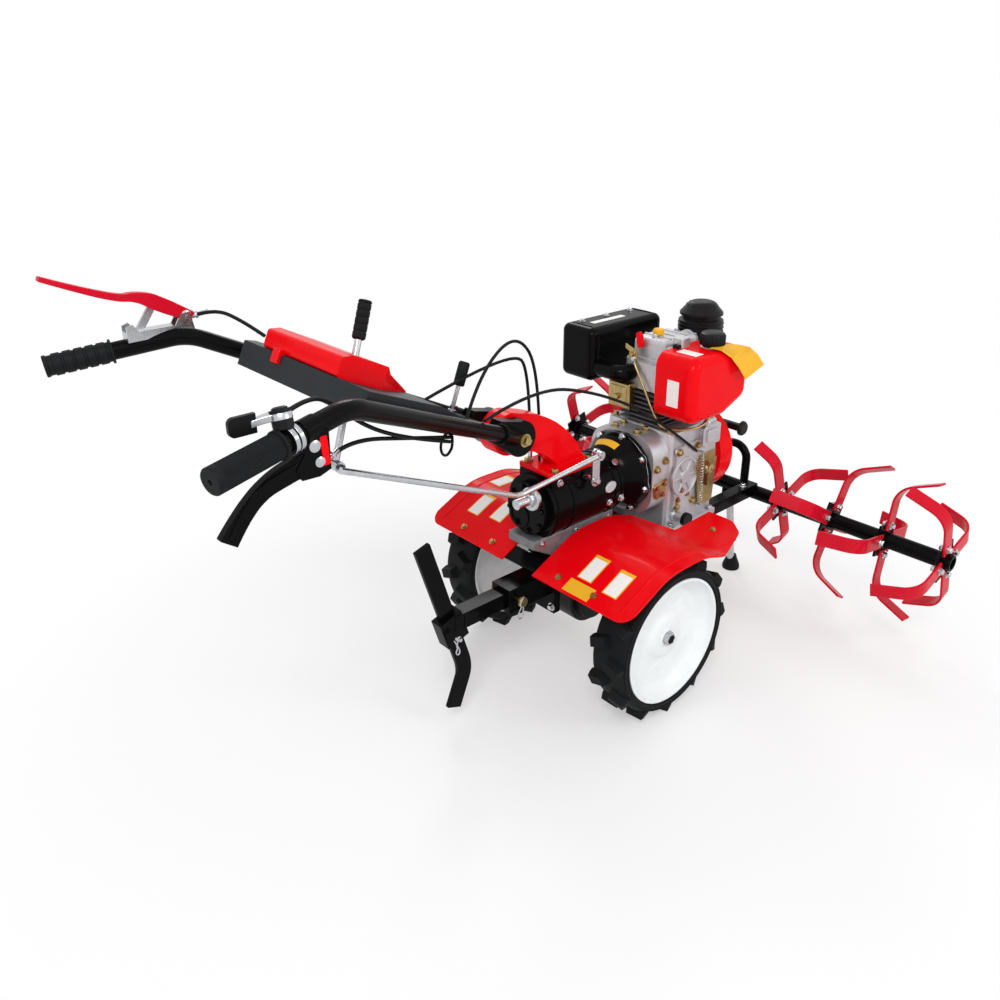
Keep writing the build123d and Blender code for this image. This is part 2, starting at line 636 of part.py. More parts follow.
LEVER_SIDE = SIDE.offset(SIDE_LEVER_Y)
with BuildPart() as side_lever:
    drum(along_grip(66, -1), along_grip(96, -1), RING_R)
    with BuildSketch(LEVER_SIDE):
        Polygon((-888, 946), (-852, 946), (-854, 890), (-876, 884), (-926, 876), (-918, 902), (-890, 914), align=None)
    extrude(amount=9, both=True)
    with BuildSketch(LEVER_SIDE):
        with BuildLine():
            FilletPolyline((-890, 902), (-956, 880), (-994, 847), (-1013, 821), radius=40)
        trace(line_width=26)
    extrude(amount=7, both=True)
    tube_cut(-1)

with BuildPart() as lock_lever:
    drum(at(-343, 60, 751.5), at(-308, 60, 840), 5)
    drum(at(-322, 60, 804), at(-306, 60, 845), 9)
    with Locations(HANDLE):
        Box(400, 400, 18, mode=Mode.SUBTRACT)

with BuildPart() as shift_rod:
    add(
        tube_along(
            [at(SHIFT_X, -102, SHIFT_Z), at(-298, -102, 593), at(-730, -130, 787)], ROD_R, 60
        )
    )
    drum(at(SHIFT_X, -108, SHIFT_Z), at(SHIFT_X, -96, SHIFT_Z), 11)
    drum(at(SHIFT_X, -120, SHIFT_Z), at(SHIFT_X, -80, SHIFT_Z), ROD_R + 0.3, Mode.SUBTRACT)

# Cables: from the console over the handle head, and along the handle
with BuildPart() as control_cables:
    for route, bend in (
        ((at(-430, 45, 796), at(-178, 45, 862), at(-128, 45, 790), at(-128, 45, 582.2)), 34),
        ((at(-398, -113.9, 789.5), at(-235, -85, 814), at(-60, -88, 768), at(120, -112, 676), at(300, -115.8, 536)), 120),
    ):
        add(tube_along(route, CABLE_R, bend))

with BuildPart() as handle_cables:
    for route, bend in (
        ((at(-776.1, 298, 983.3), at(-742, 270, 997), at(-722, 205, 986), at(-703, 150.3, 961)), 24),
        ((at(-851.1, -306, 895), at(-775, -232, 886), at(-600, -172, 824), at(-508.6, -154.2, 796.8)), 60),
    ):
        add(tube_along(route, CABLE_R, bend))

NODES = {
    "axle_shaft": axle_shaft, "wheel_left": wheel_left, "wheel_right": wheel_right,
    "tyre_left": tyre_left, "tyre_right": tyre_right,
    "final_drive_case": final_drive_case, "gearbox_case": gearbox_case, "pto_shaft": pto_shaft,
    "clutch_bell": clutch_bell, "shift_arm": shift_arm, "handle_bracket": handle_bracket,
    "engine_block": engine_block, "engine_cylinder": engine_cylinder, "engine_head": engine_head,
    "exhaust_shield": exhaust_shield, "muffler": muffler, "exhaust_elbow": exhaust_elbow,
    "air_filter": air_filter, "fuel_tank": fuel_tank, "tank_cap": tank_cap,
    "fan_shroud": fan_shroud, "recoil_grip": recoil_grip, "governor_plate": governor_plate,
    "oil_filler": oil_filler, "frame_plate": frame_plate, "frame_arm_left": frame_arm_left,
    "frame_arm_right": frame_arm_right, "carrier_bar": carrier_bar, "front_hoop": front_hoop,
    "stand_leg": stand_leg, "tine_shaft_left": tine_shaft_left, "tine_shaft_right": tine_shaft_right,
    "tine_blades_left": tine_blades_left, "tine_blades_right": tine_blades_right,
    "fender_left": fender_left, "fender_right": fender_right, "fender_stays": fender_stays,
    "hitch_bracket": hitch_bracket, "drawbar": drawbar, "hitch_pin": hitch_pin,
    "depth_stake": depth_stake, "handle_tube_left": handle_tube_left,
    "handle_tube_right": handle_tube_right, "pivot_bolt": pivot_bolt, "handle_plate": handle_plate,
    "gear_lever": gear_lever, "console_tray": console_tray, "console_cover": console_cover,
    "grip_left": grips["grip_left"], "grip_right": grips["grip_right"],
    "clutch_bracket": clutch_bracket, "clutch_lever": clutch_lever,
    "throttle_lever": throttle_lever, "side_lever": side_lever, "lock_lever": lock_lever,
    "shift_rod": shift_rod, "control_cables": control_cables, "handle_cables": handle_cables,
}
for label, node in NODES.items():
    node.part.label = label
    export_step(node.part, f"parts/{label}.step")
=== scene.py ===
"""Looks of a walk-behind tractor: finishes, small fittings, cables, stage and camera.

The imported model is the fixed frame, in metres: +X forward, +Y to the operator's left, +Z up.
Places in this file are in millimetres from the middle of the wheel axle, on the ground.
"""

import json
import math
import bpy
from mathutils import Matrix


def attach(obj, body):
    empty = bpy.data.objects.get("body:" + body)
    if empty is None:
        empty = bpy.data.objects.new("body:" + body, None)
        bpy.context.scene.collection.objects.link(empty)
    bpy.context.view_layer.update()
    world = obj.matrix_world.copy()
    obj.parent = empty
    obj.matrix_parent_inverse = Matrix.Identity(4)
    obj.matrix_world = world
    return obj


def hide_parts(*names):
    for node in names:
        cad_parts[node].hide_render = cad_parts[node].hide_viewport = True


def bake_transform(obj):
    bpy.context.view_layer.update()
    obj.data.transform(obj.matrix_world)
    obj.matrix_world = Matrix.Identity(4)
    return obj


bl_info = {
    "name": "Walk-behind tractor looks",
    "version": (1, 0, 0),
    "blender": (4, 5, 0),
    "location": "View3D > Sidebar > Tractor",
    "description": "Dresses the packed walk-behind tractor with finishes, fittings, a stage and a camera",
    "category": "Object",
}

from collections import namedtuple

import bmesh
import bpy
from mathutils import Matrix, Vector
from mathutils.bvhtree import BVHTree

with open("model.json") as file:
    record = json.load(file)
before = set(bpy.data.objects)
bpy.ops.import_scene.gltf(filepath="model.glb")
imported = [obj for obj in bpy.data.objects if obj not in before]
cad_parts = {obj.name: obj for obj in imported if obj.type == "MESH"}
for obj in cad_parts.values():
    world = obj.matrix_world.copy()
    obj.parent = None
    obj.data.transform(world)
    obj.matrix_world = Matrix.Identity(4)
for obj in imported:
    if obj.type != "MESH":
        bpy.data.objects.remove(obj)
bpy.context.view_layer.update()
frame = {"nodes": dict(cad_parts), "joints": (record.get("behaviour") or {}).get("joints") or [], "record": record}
NODES = frame["nodes"]
AXLE_X = {joint["name"]: joint for joint in frame["joints"]}["axle_spin"]["pos_m"][0]
MM = 0.001
BACK, FRONT = (-1, 0, 0), (1, 0, 0)
RIGHT, LEFT, UP, DOWN = (0, -1, 0), (0, 1, 0), (0, 0, 1), (0, 0, -1)
SIDES = (-1, 1)
AXLE_Z = 200.0
CRANK_Z = 495.0
GEAR_Z = 490.0
BAR_X, BAR_Z = 650.0, 300.0
PIVOT_X, PIVOT_Z = -250.0, 697.1
HEAD_X, HEAD_Z = -235.0, 690.0
RISE = math.radians(25.3)
GRIP_END = 242.8
OVER_FENDERS = 600
finishes = {}


def linear(colour_hex):
    """An sRGB hex colour as linear RGBA."""
    channels = [int(colour_hex[i:i + 2], 16) / 255 for i in (1, 3, 5)]
    return [c / 12.92 if c <= 0.04045 else ((c + 0.055) / 1.055) ** 2.4 for c in channels] + [1.0]


def hue(label, about, colour_hex):
    """A colour setting."""
    return bpy.props.FloatVectorProperty(
        name=label, description=about, subtype="COLOR", size=4, min=0.0, max=1.0, default=linear(colour_hex))


def length(label, about, millimetres):
    """A length setting, kept in metres."""
    return bpy.props.FloatProperty(
        name=label, description=about, default=millimetres * MM, unit="LENGTH", precision=4)


def angle(label, about, degrees):
    """An angle setting, kept in radians."""
    return bpy.props.FloatProperty(
        name=label, description=about, default=math.radians(degrees), unit="ROTATION")


TONES = {
    "red": ("the red enamel", "#E4030E", "#F20814"),
    # The crimson is the red with the tine paint's own bluer tint, and darker as painted shade for the lever and
    # tines.
    "crimson": ("the tine and lever enamel", "#C40D24", "#D8142E"),
    "black": ("the black enamel", "#050506", "#0B0B0C"),
    "white": ("the wheel enamel", "#E4E8E9", "#F1F4F4"),
    "plastic": ("the moulded plastic", "#0B0B0C", "#161718"),
    "tray": ("the console tray's grey plastic", "#1C2023", "#282D30"),
    "rubber": ("grips and tyres", "#0A0B0C", "#16181A"),
    "cast": ("the cast aluminium", "#ACACB0", "#D8D8DC"),
    "iron": ("the finned barrel", "#434347", "#626267"),
    "drive": ("the drive case's dull casting", "#161617", "#868689"),
    "zinc": ("the bright zinc plate", "#A9ABAF", "#D4D6D9"),
    "gold": ("the yellow passivated plate", "#86703F", "#C4AE7C"),
    "copper": ("the copper washers and bolts", "#8A4A32", "#C27A58"),
    "label": ("the blank white labels", "#F3F1EE", "#F3F1EE"),
    "patch": ("the blank yellow patches and tag", "#F0B42C", "#F0B42C"),
}


class TRACTOR_PG_colours(bpy.types.PropertyGroup):
    """Colours of the finishes, each with a darker and a lighter tone."""

    __annotations__ = {
        f"{key}_{end}": hue(f"{key.capitalize()}, {end}", f"{end.capitalize()} tone of {what}", tone)
        for key, (what, *pair) in TONES.items() for end, tone in zip(("dark", "light"), pair)}


class TRACTOR_PG_sizes(bpy.types.PropertyGroup):
    """Sizes of the small fittings."""

    edge: length("Edge", "Rounding of the frame's sharp edges", 1.2)
    small_bolt: length("Small bolt", "Across the flats of the small bolt heads", 10.0)
    bolt: length("Bolt", "Across the flats of the usual bolt heads", 13.0)
    large_bolt: length("Large bolt", "Across the flats of the handle's pivot bolt", 18.0)
    cable: length("Cable", "Radius of the control cables", 3.5)
    pipe: length("Pipe", "Radius of the fuel pipe", 3.2)
    wire: length("Clip wire", "Radius of the retaining clips' wire", 1.6)
    label_width: length("Label width", "Width of a blank label", 42.0)
    label_length: length("Label length", "Length of a blank label", 66.0)
    hem: length("Fender hem", "Radius of the fenders' rolled edge", 2.6)


class TRACTOR_PG_stage(bpy.types.PropertyGroup):
    """Sizes and places of the stage and camera."""

    camera_back: length("Camera behind axle", "How far the camera stands behind the axle", 1429.6)
    camera_right: length("Camera to the right", "How far the camera stands to the machine's right", 1346.2)
    camera_height: length("Camera height", "Height of the camera over the ground", 1382.7)
    heading: angle("Heading", "Where the camera looks, turned from forward to the left", 47.643)
    pitch: angle("Pitch", "How far the camera looks down", 22.9)
    floor_size: length("Floor size", "Side of the square floor", 60000.0)
    lit_radius: length("Lit floor", "Radius of the floor that takes the object's shadow", 1500.0)


def at(x, y, z):
    """A point in millimetres from the axle's middle on the ground, as a vector in metres."""
    return Vector((AXLE_X + x * MM, y * MM, z * MM))


def route(*points):
    """Points in millimetres from the axle's middle, as vectors in metres."""
    return [at(*point) for point in points]


def on_handle(s, y, h):
    """A point on the handle: millimetres back along it, to the left, and over its plane."""
    return at(
        HEAD_X - s * math.cos(RISE) + h * math.sin(RISE), y,
        HEAD_Z + s * math.sin(RISE) + h * math.cos(RISE))


def along(start, end, share):
    """The point at a share of the way between two points."""
    return start + (end - start) * share


def facing(place, direction, spin=0.0):
    """A matrix at a place whose Z runs along a direction."""
    turn = Vector(direction).to_track_quat("Z", "Y").to_matrix().to_4x4()
    return Matrix.Translation(place) @ turn @ Matrix.Rotation(spin, 4, "Z")


def seat(x, y, z, direction, spin=0.0):
    """A matrix at a point in millimetres from the axle's middle, whose Z runs along a direction."""
    return facing(at(x, y, z), direction, spin)


def soften(thing, width):
    """Rounds the sharp edges of an object, and returns the modifier that does so."""
    edge = thing.modifiers.new("edge", "BEVEL")
    edge.width = width
    edge.segments = 2
    edge.limit_method = "ANGLE"
    return edge


def make(name, finish, *forms, bevel=0.0, body="chassis", smooth=38.0, replaces=(), bends=()):
    """Builds a piece from forms (a function, its details) that rides on a body, or stays fixed in place if bends
    are given.
    """
    work = bmesh.new()
    for form, *details in forms:
        form(work, *details)
    bmesh.ops.recalc_face_normals(work, faces=work.faces[:])
    mesh = bpy.data.meshes.new(name)
    work.to_mesh(mesh)
    work.free()
    mesh.shade_smooth()
    mesh.set_sharp_from_angle(angle=math.radians(smooth))
    mesh.materials.append(finishes[finish])
    thing = bpy.data.objects.new(name, mesh)
    bpy.context.scene.collection.objects.link(thing)
    if bevel:
        soften(thing, bevel * MM)
    if bends:
        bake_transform(thing)
    else:
        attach(thing, body)
    if replaces:
        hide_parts(*replaces)


def lathe(work, profile, matrix, steps=24, flute=0.0):
    """Adds a turned form from (radius, height) pairs in millimetres; a flute cuts in every second step."""
    loops = []
    for radius, height in profile:
        loop = []
        for i in range(steps if radius > 0 else 1):
            turn = 2 * math.pi * i / steps
            cut = (radius - (flute if i % 2 else 0.0)) * MM
            loop.append(work.verts.new(
                matrix @ Vector((cut * math.cos(turn), cut * math.sin(turn), height * MM))))
        loops.append(loop)
    for low, high in zip(loops, loops[1:]):
        for i in range(steps):
            j = (i + 1) % steps
            corners = dict.fromkeys((
                low[i % len(low)], low[j % len(low)], high[j % len(high)], high[i % len(high)]))
            if len(corners) > 2:
                work.faces.new(tuple(corners))


def slab(work, outline, matrix, low, high):
    """Adds a plate with an outline in millimetres in the matrix's XY plane, between two heights."""
    decks = [
        [work.verts.new(matrix @ Vector((x * MM, y * MM, h * MM))) for x, y in outline] for h in (low, high)]
    work.faces.new(decks[0])
    work.faces.new(decks[1])
    for i in range(len(outline)):
        j = (i + 1) % len(outline)
        work.faces.new((decks[0][i], decks[0][j], decks[1][j], decks[1][i]))


def rounded(width, depth, corner, steps=4):
    """The outline of a rectangle with rounded corners, in millimetres about its middle."""
    points = []
    for quarter, (sx, sy) in enumerate(((1, 1), (-1, 1), (-1, -1), (1, -1))):
        for i in range(steps + 1):
            turn = math.pi / 2 * (quarter + i / steps)
            points.append((
                sx * (width / 2 - corner) + corner * math.cos(turn),
                sy * (depth / 2 - corner) + corner * math.sin(turn)))
    return points


def wrap_sheet(work, spots, lift):
    """Adds a thin closed sheet over rows of (point, outward) pairs, from just below them to a lift above."""
    sunk = -0.5
    layers = [[[work.verts.new(p + n * h * MM) for p, n in row] for row in spots] for h in (sunk, lift)]
    rows, columns = len(spots) - 1, len(spots[0]) - 1
    for layer in layers:
        for r in range(rows):
            for c in range(columns):
                work.faces.new((layer[r][c], layer[r + 1][c], layer[r + 1][c + 1], layer[r][c + 1]))
    rim = [(r, 0) for r in range(rows)] + [(rows, c) for c in range(columns)]
    rim += [(r, columns) for r in range(rows, 0, -1)] + [(0, c) for c in range(columns, 0, -1)]
    for (r, c), (s, d) in zip(rim, rim[1:] + rim[:1]):
        work.faces.new((layers[0][r][c], layers[0][s][d], layers[1][s][d], layers[1][r][c]))


def bolt(work, place, direction, across, spin=0.3):
    """Adds a washer and a chamfered hexagon head, by the width across its flats in millimetres."""
    matrix = facing(place, direction, spin)
    corner = across / math.sqrt(3)
    washer, rim, top = across * 0.14, across * 0.6, across * 0.72
    lathe(work, ((0, 0), (across * 0.82, 0), (across * 0.82, washer), (0, washer)), matrix, 20)
    lathe(work, ((0, washer), (corner, washer), (corner, rim), (corner * 0.84, top), (0, top)), matrix, 6)


def spline_mesh(points, radius=0.0, sides=5):
    """The mesh of a smooth line led by the points: a round tube, or the bare line if there is no radius."""
    curve = bpy.data.curves.new("route", "CURVE")
    curve.dimensions = "3D"
    curve.bevel_depth = radius
    curve.bevel_resolution = sides
    curve.use_fill_caps = radius > 0
    spline = curve.splines.new("NURBS")
    spline.points.add(len(points) - 1)
    for point, place in zip(spline.points, points):
        point.co = (*place, 1.0)
    spline.order_u = 3
    spline.use_endpoint_u = True
    spline.resolution_u = 8
    holder = bpy.data.objects.new("route", curve)
    mesh = bpy.data.meshes.new_from_object(holder)
    bpy.data.objects.remove(holder)
    bpy.data.curves.remove(curve)
    return mesh


def tube(work, points, radius, sides=5):
    """Adds a round tube along a smooth line that is led by the points."""
    mesh = spline_mesh(points, radius, sides)
    work.from_mesh(mesh)
    bpy.data.meshes.remove(mesh)


def join(work, sections):
    """Joins four-cornered sections into one closed form."""
    for low, high in zip(sections, sections[1:]):
        for i in range(4):
            j = (i + 1) % 4
            work.faces.new((low[i], low[j], high[j], high[i]))
    work.faces.new(sections[0])
    work.faces.new(sections[-1])


def bar(work, points, widths, thick, across):
    """Adds a forged bar along a smooth line, with widths from start to end and its thickness along across."""
    mesh = spline_mesh(points)
    line = [v.co.copy() for v in mesh.vertices]
    bpy.data.meshes.remove(mesh)
    across = Vector(across)
    last = len(line) - 1
    sections = []
    for i, place in enumerate(line):
        ahead = line[min(i + 1, last)] - line[max(i - 1, 0)]
        side = ahead.cross(across).normalized()
        share = i / last * (len(widths) - 1)
        step = min(int(share), len(widths) - 2)
        half = (widths[step] + (widths[step + 1] - widths[step]) * (share - step)) / 2 * MM
        sections.append([
            work.verts.new(place + side * half * a + across * thick / 2 * MM * b)
            for a, b in ((-1, -1), (1, -1), (1, 1), (-1, 1))])
    join(work, sections)


def card(work, rows):
    """Adds a card 1 mm thick, from rows of its middle (x, y, z), half width and sideways tilt."""
    corners = ((-1, 0), (1, 0), (1, -1), (-1, -1))
    join(work, [
        [work.verts.new(at(x + side * half, y + dy, z + tilt * side * half)) for side, dy in corners]
        for x, y, z, half, tilt in rows])


def ring(middle, axis, radius, count, start=0.0):
    """Places evenly round a circle, in millimetres."""
    matrix = facing(middle, axis)
    turns = [math.radians(start) + 2 * math.pi * i / count for i in range(count)]
    return [matrix @ Vector((radius * MM * math.cos(t), radius * MM * math.sin(t), 0)) for t in turns]


def add_node(tree, kind, links=(), **settings):
    """Adds a node, sets its properties and input values, and links sources into its inputs."""
    made = tree.nodes.new(kind)
    for key, value in settings.items():
        if hasattr(made, key):
            setattr(made, key, value)
        else:
            made.inputs[key.replace("_", " ")].default_value = value
    for source, socket in links:
        tree.links.new(source, made.inputs[socket])
    return made


def seen_rays(tree):
    """A socket that is one for rays from the camera, off gloss and through glass, which find plain white."""
    path = add_node(tree, "ShaderNodeLightPath").outputs
    straight = add_node(
        tree, "ShaderNodeMath", [(path["Is Camera Ray"], 0), (path["Is Transmission Ray"], 1)],
        operation="MAXIMUM")
    return add_node(
        tree, "ShaderNodeMath", [(straight.outputs["Value"], 0), (path["Is Glossy Ray"], 1)],
        operation="MAXIMUM").outputs["Value"]


def start_material(name, **shader):
    """A new node material with its shader set; returns its tree, its shader and the object coordinates."""
    material = bpy.data.materials.new(name)
    material.use_nodes = True
    tree = material.node_tree
    surface = tree.nodes["Principled BSDF"]
    for key, value in shader.items():
        surface.inputs[key.replace("_", " ")].default_value = value
    finishes[name] = material
    return tree, surface, add_node(tree, "ShaderNodeTexCoord").outputs["Object"]


def per(millimetres):
    """The scale of a pattern whose features are so many millimetres apart."""
    return 1000 / millimetres


def blend_tones(tree, surface, driver, tones, roughness):
    """Lets one pattern lead the colour between two tones and the roughness between two values."""
    mix = add_node(tree, "ShaderNodeMix", [(driver, "Factor")], data_type="RGBA")
    mix.inputs[6].default_value, mix.inputs[7].default_value = tones
    rough = add_node(
        tree, "ShaderNodeMapRange", [(driver, "Value")], To_Min=roughness[0], To_Max=roughness[1])
    tree.links.new(mix.outputs[2], surface.inputs["Base Color"])
    tree.links.new(rough.outputs["Result"], surface.inputs["Roughness"])


def make_enamel(name, tones, roughness, gloss, coat):
    """Sprayed enamel on steel: a clear gloss with the faint ripple of orange peel and slow tone drift."""
    tree, surface, place = start_material(
        name, Specular_IOR_Level=gloss, Coat_Weight=coat, Coat_Roughness=0.06)
    drift = add_node(tree, "ShaderNodeTexNoise", [(place, "Vector")], Scale=per(70), Detail=2.0)
    blend_tones(tree, surface, drift.outputs["Fac"], tones, roughness)
    # Real orange peel is nearer 1 mm; it is drawn at 3 mm, so that it shows in the render.
    peel = add_node(tree, "ShaderNodeTexNoise", [(place, "Vector")], Scale=per(3.0), Detail=1.0)
    ripple = add_node(
        tree, "ShaderNodeBump", [(peel.outputs["Fac"], "Height")], Strength=0.1, Distance=0.2 * MM)
    tree.links.new(ripple.outputs["Normal"], surface.inputs["Normal"])


def make_moulded(name, tones, roughness, grain, depth):
    """Moulded plastic, vinyl or rubber: an even colour under a fine pebbled grain."""
    tree, surface, place = start_material(name, Specular_IOR_Level=0.16)
    drift = add_node(tree, "ShaderNodeTexNoise", [(place, "Vector")], Scale=per(45), Detail=4.0)
    blend_tones(tree, surface, drift.outputs["Fac"], tones, roughness)
    # The grain is drawn coarser than a real mould's, so that it shows in the render.
    pebble = add_node(tree, "ShaderNodeTexVoronoi", [(place, "Vector")], Scale=per(grain))
    bump = add_node(
        tree, "ShaderNodeBump", [(pebble.outputs["Distance"], "Height")], Strength=0.3, Distance=depth * MM)
    tree.links.new(bump.outputs["Normal"], surface.inputs["Normal"])


def make_cast(name, tones, roughness, grain, metallic, dark_foot=None):
    """Sand or die casting: mottled grey metal, rough and pitted; any dark foot fades out between two heights."""
    tree, surface, place = start_material(name, Metallic=metallic, Specular_IOR_Level=0.4)
    mottle = add_node(
        tree, "ShaderNodeTexNoise", [(place, "Vector")], Scale=per(30), Detail=5.0, Roughness=0.6)
    lead = mottle.outputs["Fac"]
    # Below the first height the colour sits at the darker tone; above the second the mottle is lifted by 1.6.
    if dark_foot:
        height = add_node(tree, "ShaderNodeSeparateXYZ", [(place, 0)]).outputs["Z"]
        foot_fade = add_node(
            tree, "ShaderNodeMapRange", [(height, "Value")],
            From_Min=dark_foot[0] * MM, From_Max=dark_foot[1] * MM, To_Max=1.6)
        lead = add_node(
            tree, "ShaderNodeMath", [(lead, 0), (foot_fade.outputs["Result"], 1)],
            operation="MULTIPLY").outputs["Value"]
    blend_tones(tree, surface, lead, tones, roughness)
    skin = add_node(
        tree, "ShaderNodeTexNoise", [(place, "Vector")], Scale=per(grain), Detail=6.0, Roughness=0.65)
    pits = add_node(tree, "ShaderNodeTexVoronoi", [(place, "Vector")], Scale=per(grain * 4))
    dips = add_node(tree, "ShaderNodeMapRange", [(pits.outputs["Distance"], "Value")], From_Max=0.25)
    height = add_node(
        tree, "ShaderNodeMath", [(skin.outputs["Fac"], 0), (dips.outputs["Result"], 2)],
        operation="MULTIPLY_ADD")
    bump = add_node(
        tree, "ShaderNodeBump", [(height.outputs["Value"], "Height")], Strength=0.35, Distance=0.35 * MM)
    tree.links.new(bump.outputs["Normal"], surface.inputs["Normal"])


def make_plated(name, tones, roughness):
    """Plated steel: bright metal clouded by the bath, with fine drawn lines."""
    tree, surface, place = start_material(name, Metallic=1.0)
    cloud = add_node(
        tree, "ShaderNodeTexNoise", [(place, "Vector")], Scale=per(16), Detail=4.0, Distortion=0.6)
    blend_tones(tree, surface, cloud.outputs["Fac"], tones, roughness)
    stretch = add_node(tree, "ShaderNodeMapping", [(place, "Vector")], Scale=(0.06, 1.0, 1.0))
    # Real drawn lines are finer than a tenth of a millimetre; at 0.8 mm they show in the render.
    lines = add_node(
        tree, "ShaderNodeTexNoise", [(stretch.outputs["Vector"], "Vector")], Scale=per(0.8), Detail=2.0)
    bump = add_node(
        tree, "ShaderNodeBump", [(lines.outputs["Fac"], "Height")], Strength=0.06, Distance=0.04 * MM)
    tree.links.new(bump.outputs["Normal"], surface.inputs["Normal"])


# Each finish is named for its real material, and lists its maker, tones, roughness and the maker's details.
FINISHES = (
    # Sprayed enamel, cured to a smooth film: a strong, even colour under soft highlights.
    ("red_enamel", make_enamel, "red", (0.2, 0.3), 0.04, 0.08),
    # The crimson enamel is bluer, as the tine paint is, and darker, which is painted shade.
    ("crimson_enamel", make_enamel, "crimson", (0.2, 0.3), 0.06, 0.1),
    ("black_enamel", make_enamel, "black", (0.2, 0.3), 0.04, 0.06),
    # The same film in white, where the drift shows as faint grey clouds.
    ("white_enamel", make_enamel, "white", (0.22, 0.32), 0.14, 0.1),
    # Moulded ABS: dark, with a low satin sheen over its grain.
    ("black_abs", make_moulded, "plastic", (0.36, 0.5), 1.4, 0.08),
    ("grey_abs", make_moulded, "tray", (0.4, 0.52), 1.8, 0.12),
    # Moulded rubber: nearly black and dull, and coarser on the tyres than on the grips.
    ("black_rubber", make_moulded, "rubber", (0.55, 0.7), 1.8, 0.16),
    ("tyre_rubber", make_moulded, "rubber", (0.6, 0.8), 2.6, 0.3),
    # Die-cast aluminium: pale, mottled grey with a matt, pitted skin.
    ("cast_aluminium", make_cast, "cast", (0.36, 0.52), 1.6, 0.75),
    # The same casting, near black at its foot and grey above.
    ("dull_aluminium", make_cast, "drive", (0.45, 0.6), 1.6, 0.6, (255, 345)),
    # Sand-cast iron: darker, coarser and duller than the aluminium.
    ("cast_iron", make_cast, "iron", (0.5, 0.65), 2.0, 0.5),
    # Zinc plate: pale, clouded metal with small highlights; passivated yellow, it is a dull gold.
    ("zinc_plate", make_plated, "zinc", (0.18, 0.34)),
    ("yellow_zinc", make_plated, "gold", (0.22, 0.38)),
    # Smooth vinyl sheet and thin moulded ABS: flat, clean colours with hardly any grain.
    ("white_vinyl", make_moulded, "label", (0.3, 0.4), 0.9, 0.02),
    ("yellow_abs", make_moulded, "patch", (0.3, 0.4), 0.9, 0.02),
    # Bare copper: a warm, reddish metal.
    ("copper", make_plated, "copper", (0.25, 0.4)),
)
SLOT_FINISH = {
    "red_paint": "red_enamel",
    "black_paint": "black_enamel",
    "black_plastic": "black_abs",
    "grip_rubber": "black_rubber",
    "tyre": "tyre_rubber",
    "white_paint": "white_enamel",
    "cast_aluminium": "cast_aluminium",
    "cast_iron": "cast_iron",
    "zinc_steel": "zinc_plate",
    "yellow_zinc": "yellow_zinc",
}
FINISH_SLOT = {finish: slot for slot, finish in SLOT_FINISH.items()}
FINISH_SLOT.update(
    crimson_enamel="red_paint", grey_abs="black_plastic", dull_aluminium="cast_aluminium",
    white_vinyl="white_paint", yellow_abs="yellow_zinc", copper="yellow_zinc")
NODE_FINISH = {
    "console_tray": "grey_abs", "final_drive_case": "dull_aluminium", "tine_blades_left": "crimson_enamel",
    "tine_blades_right": "crimson_enamel"}


class TRACTOR_OT_finishes(bpy.types.Operator):
    """Make the finishes and give every frame node its own"""

    bl_idname = "tractor.finishes"
    bl_label = "Finish the frame"

    def execute(self, context):
        colours = context.scene.tractor_colours
        for name, maker, key, *details in FINISHES:
            maker(name, (getattr(colours, f"{key}_dark"), getattr(colours, f"{key}_light")), *details)
        for part in frame["record"]["subparts"]:
            node = NODES[part["node"]]
            finish = NODE_FINISH.get(part["node"], SLOT_FINISH[part["material_slot"]])
            node.data.materials.clear()
            node.data.materials.append(finishes[finish])
            weld = node.modifiers.new("weld", "WELD")
            weld.merge_threshold = 0.01 * MM
            soften(node, context.scene.tractor_sizes.edge).angle_limit = math.radians(40)
            even = node.modifiers.new("even", "WEIGHTED_NORMAL")
            even.weight = 80
        return {"FINISHED"}


Bolts = namedtuple("Bolts", "name finish size direction places body", defaults=("chassis",))
CASE_STUDS = ((234, 548), (306, 550), (236, 398), (300, 398))
PTO = (-183, -30, 528)


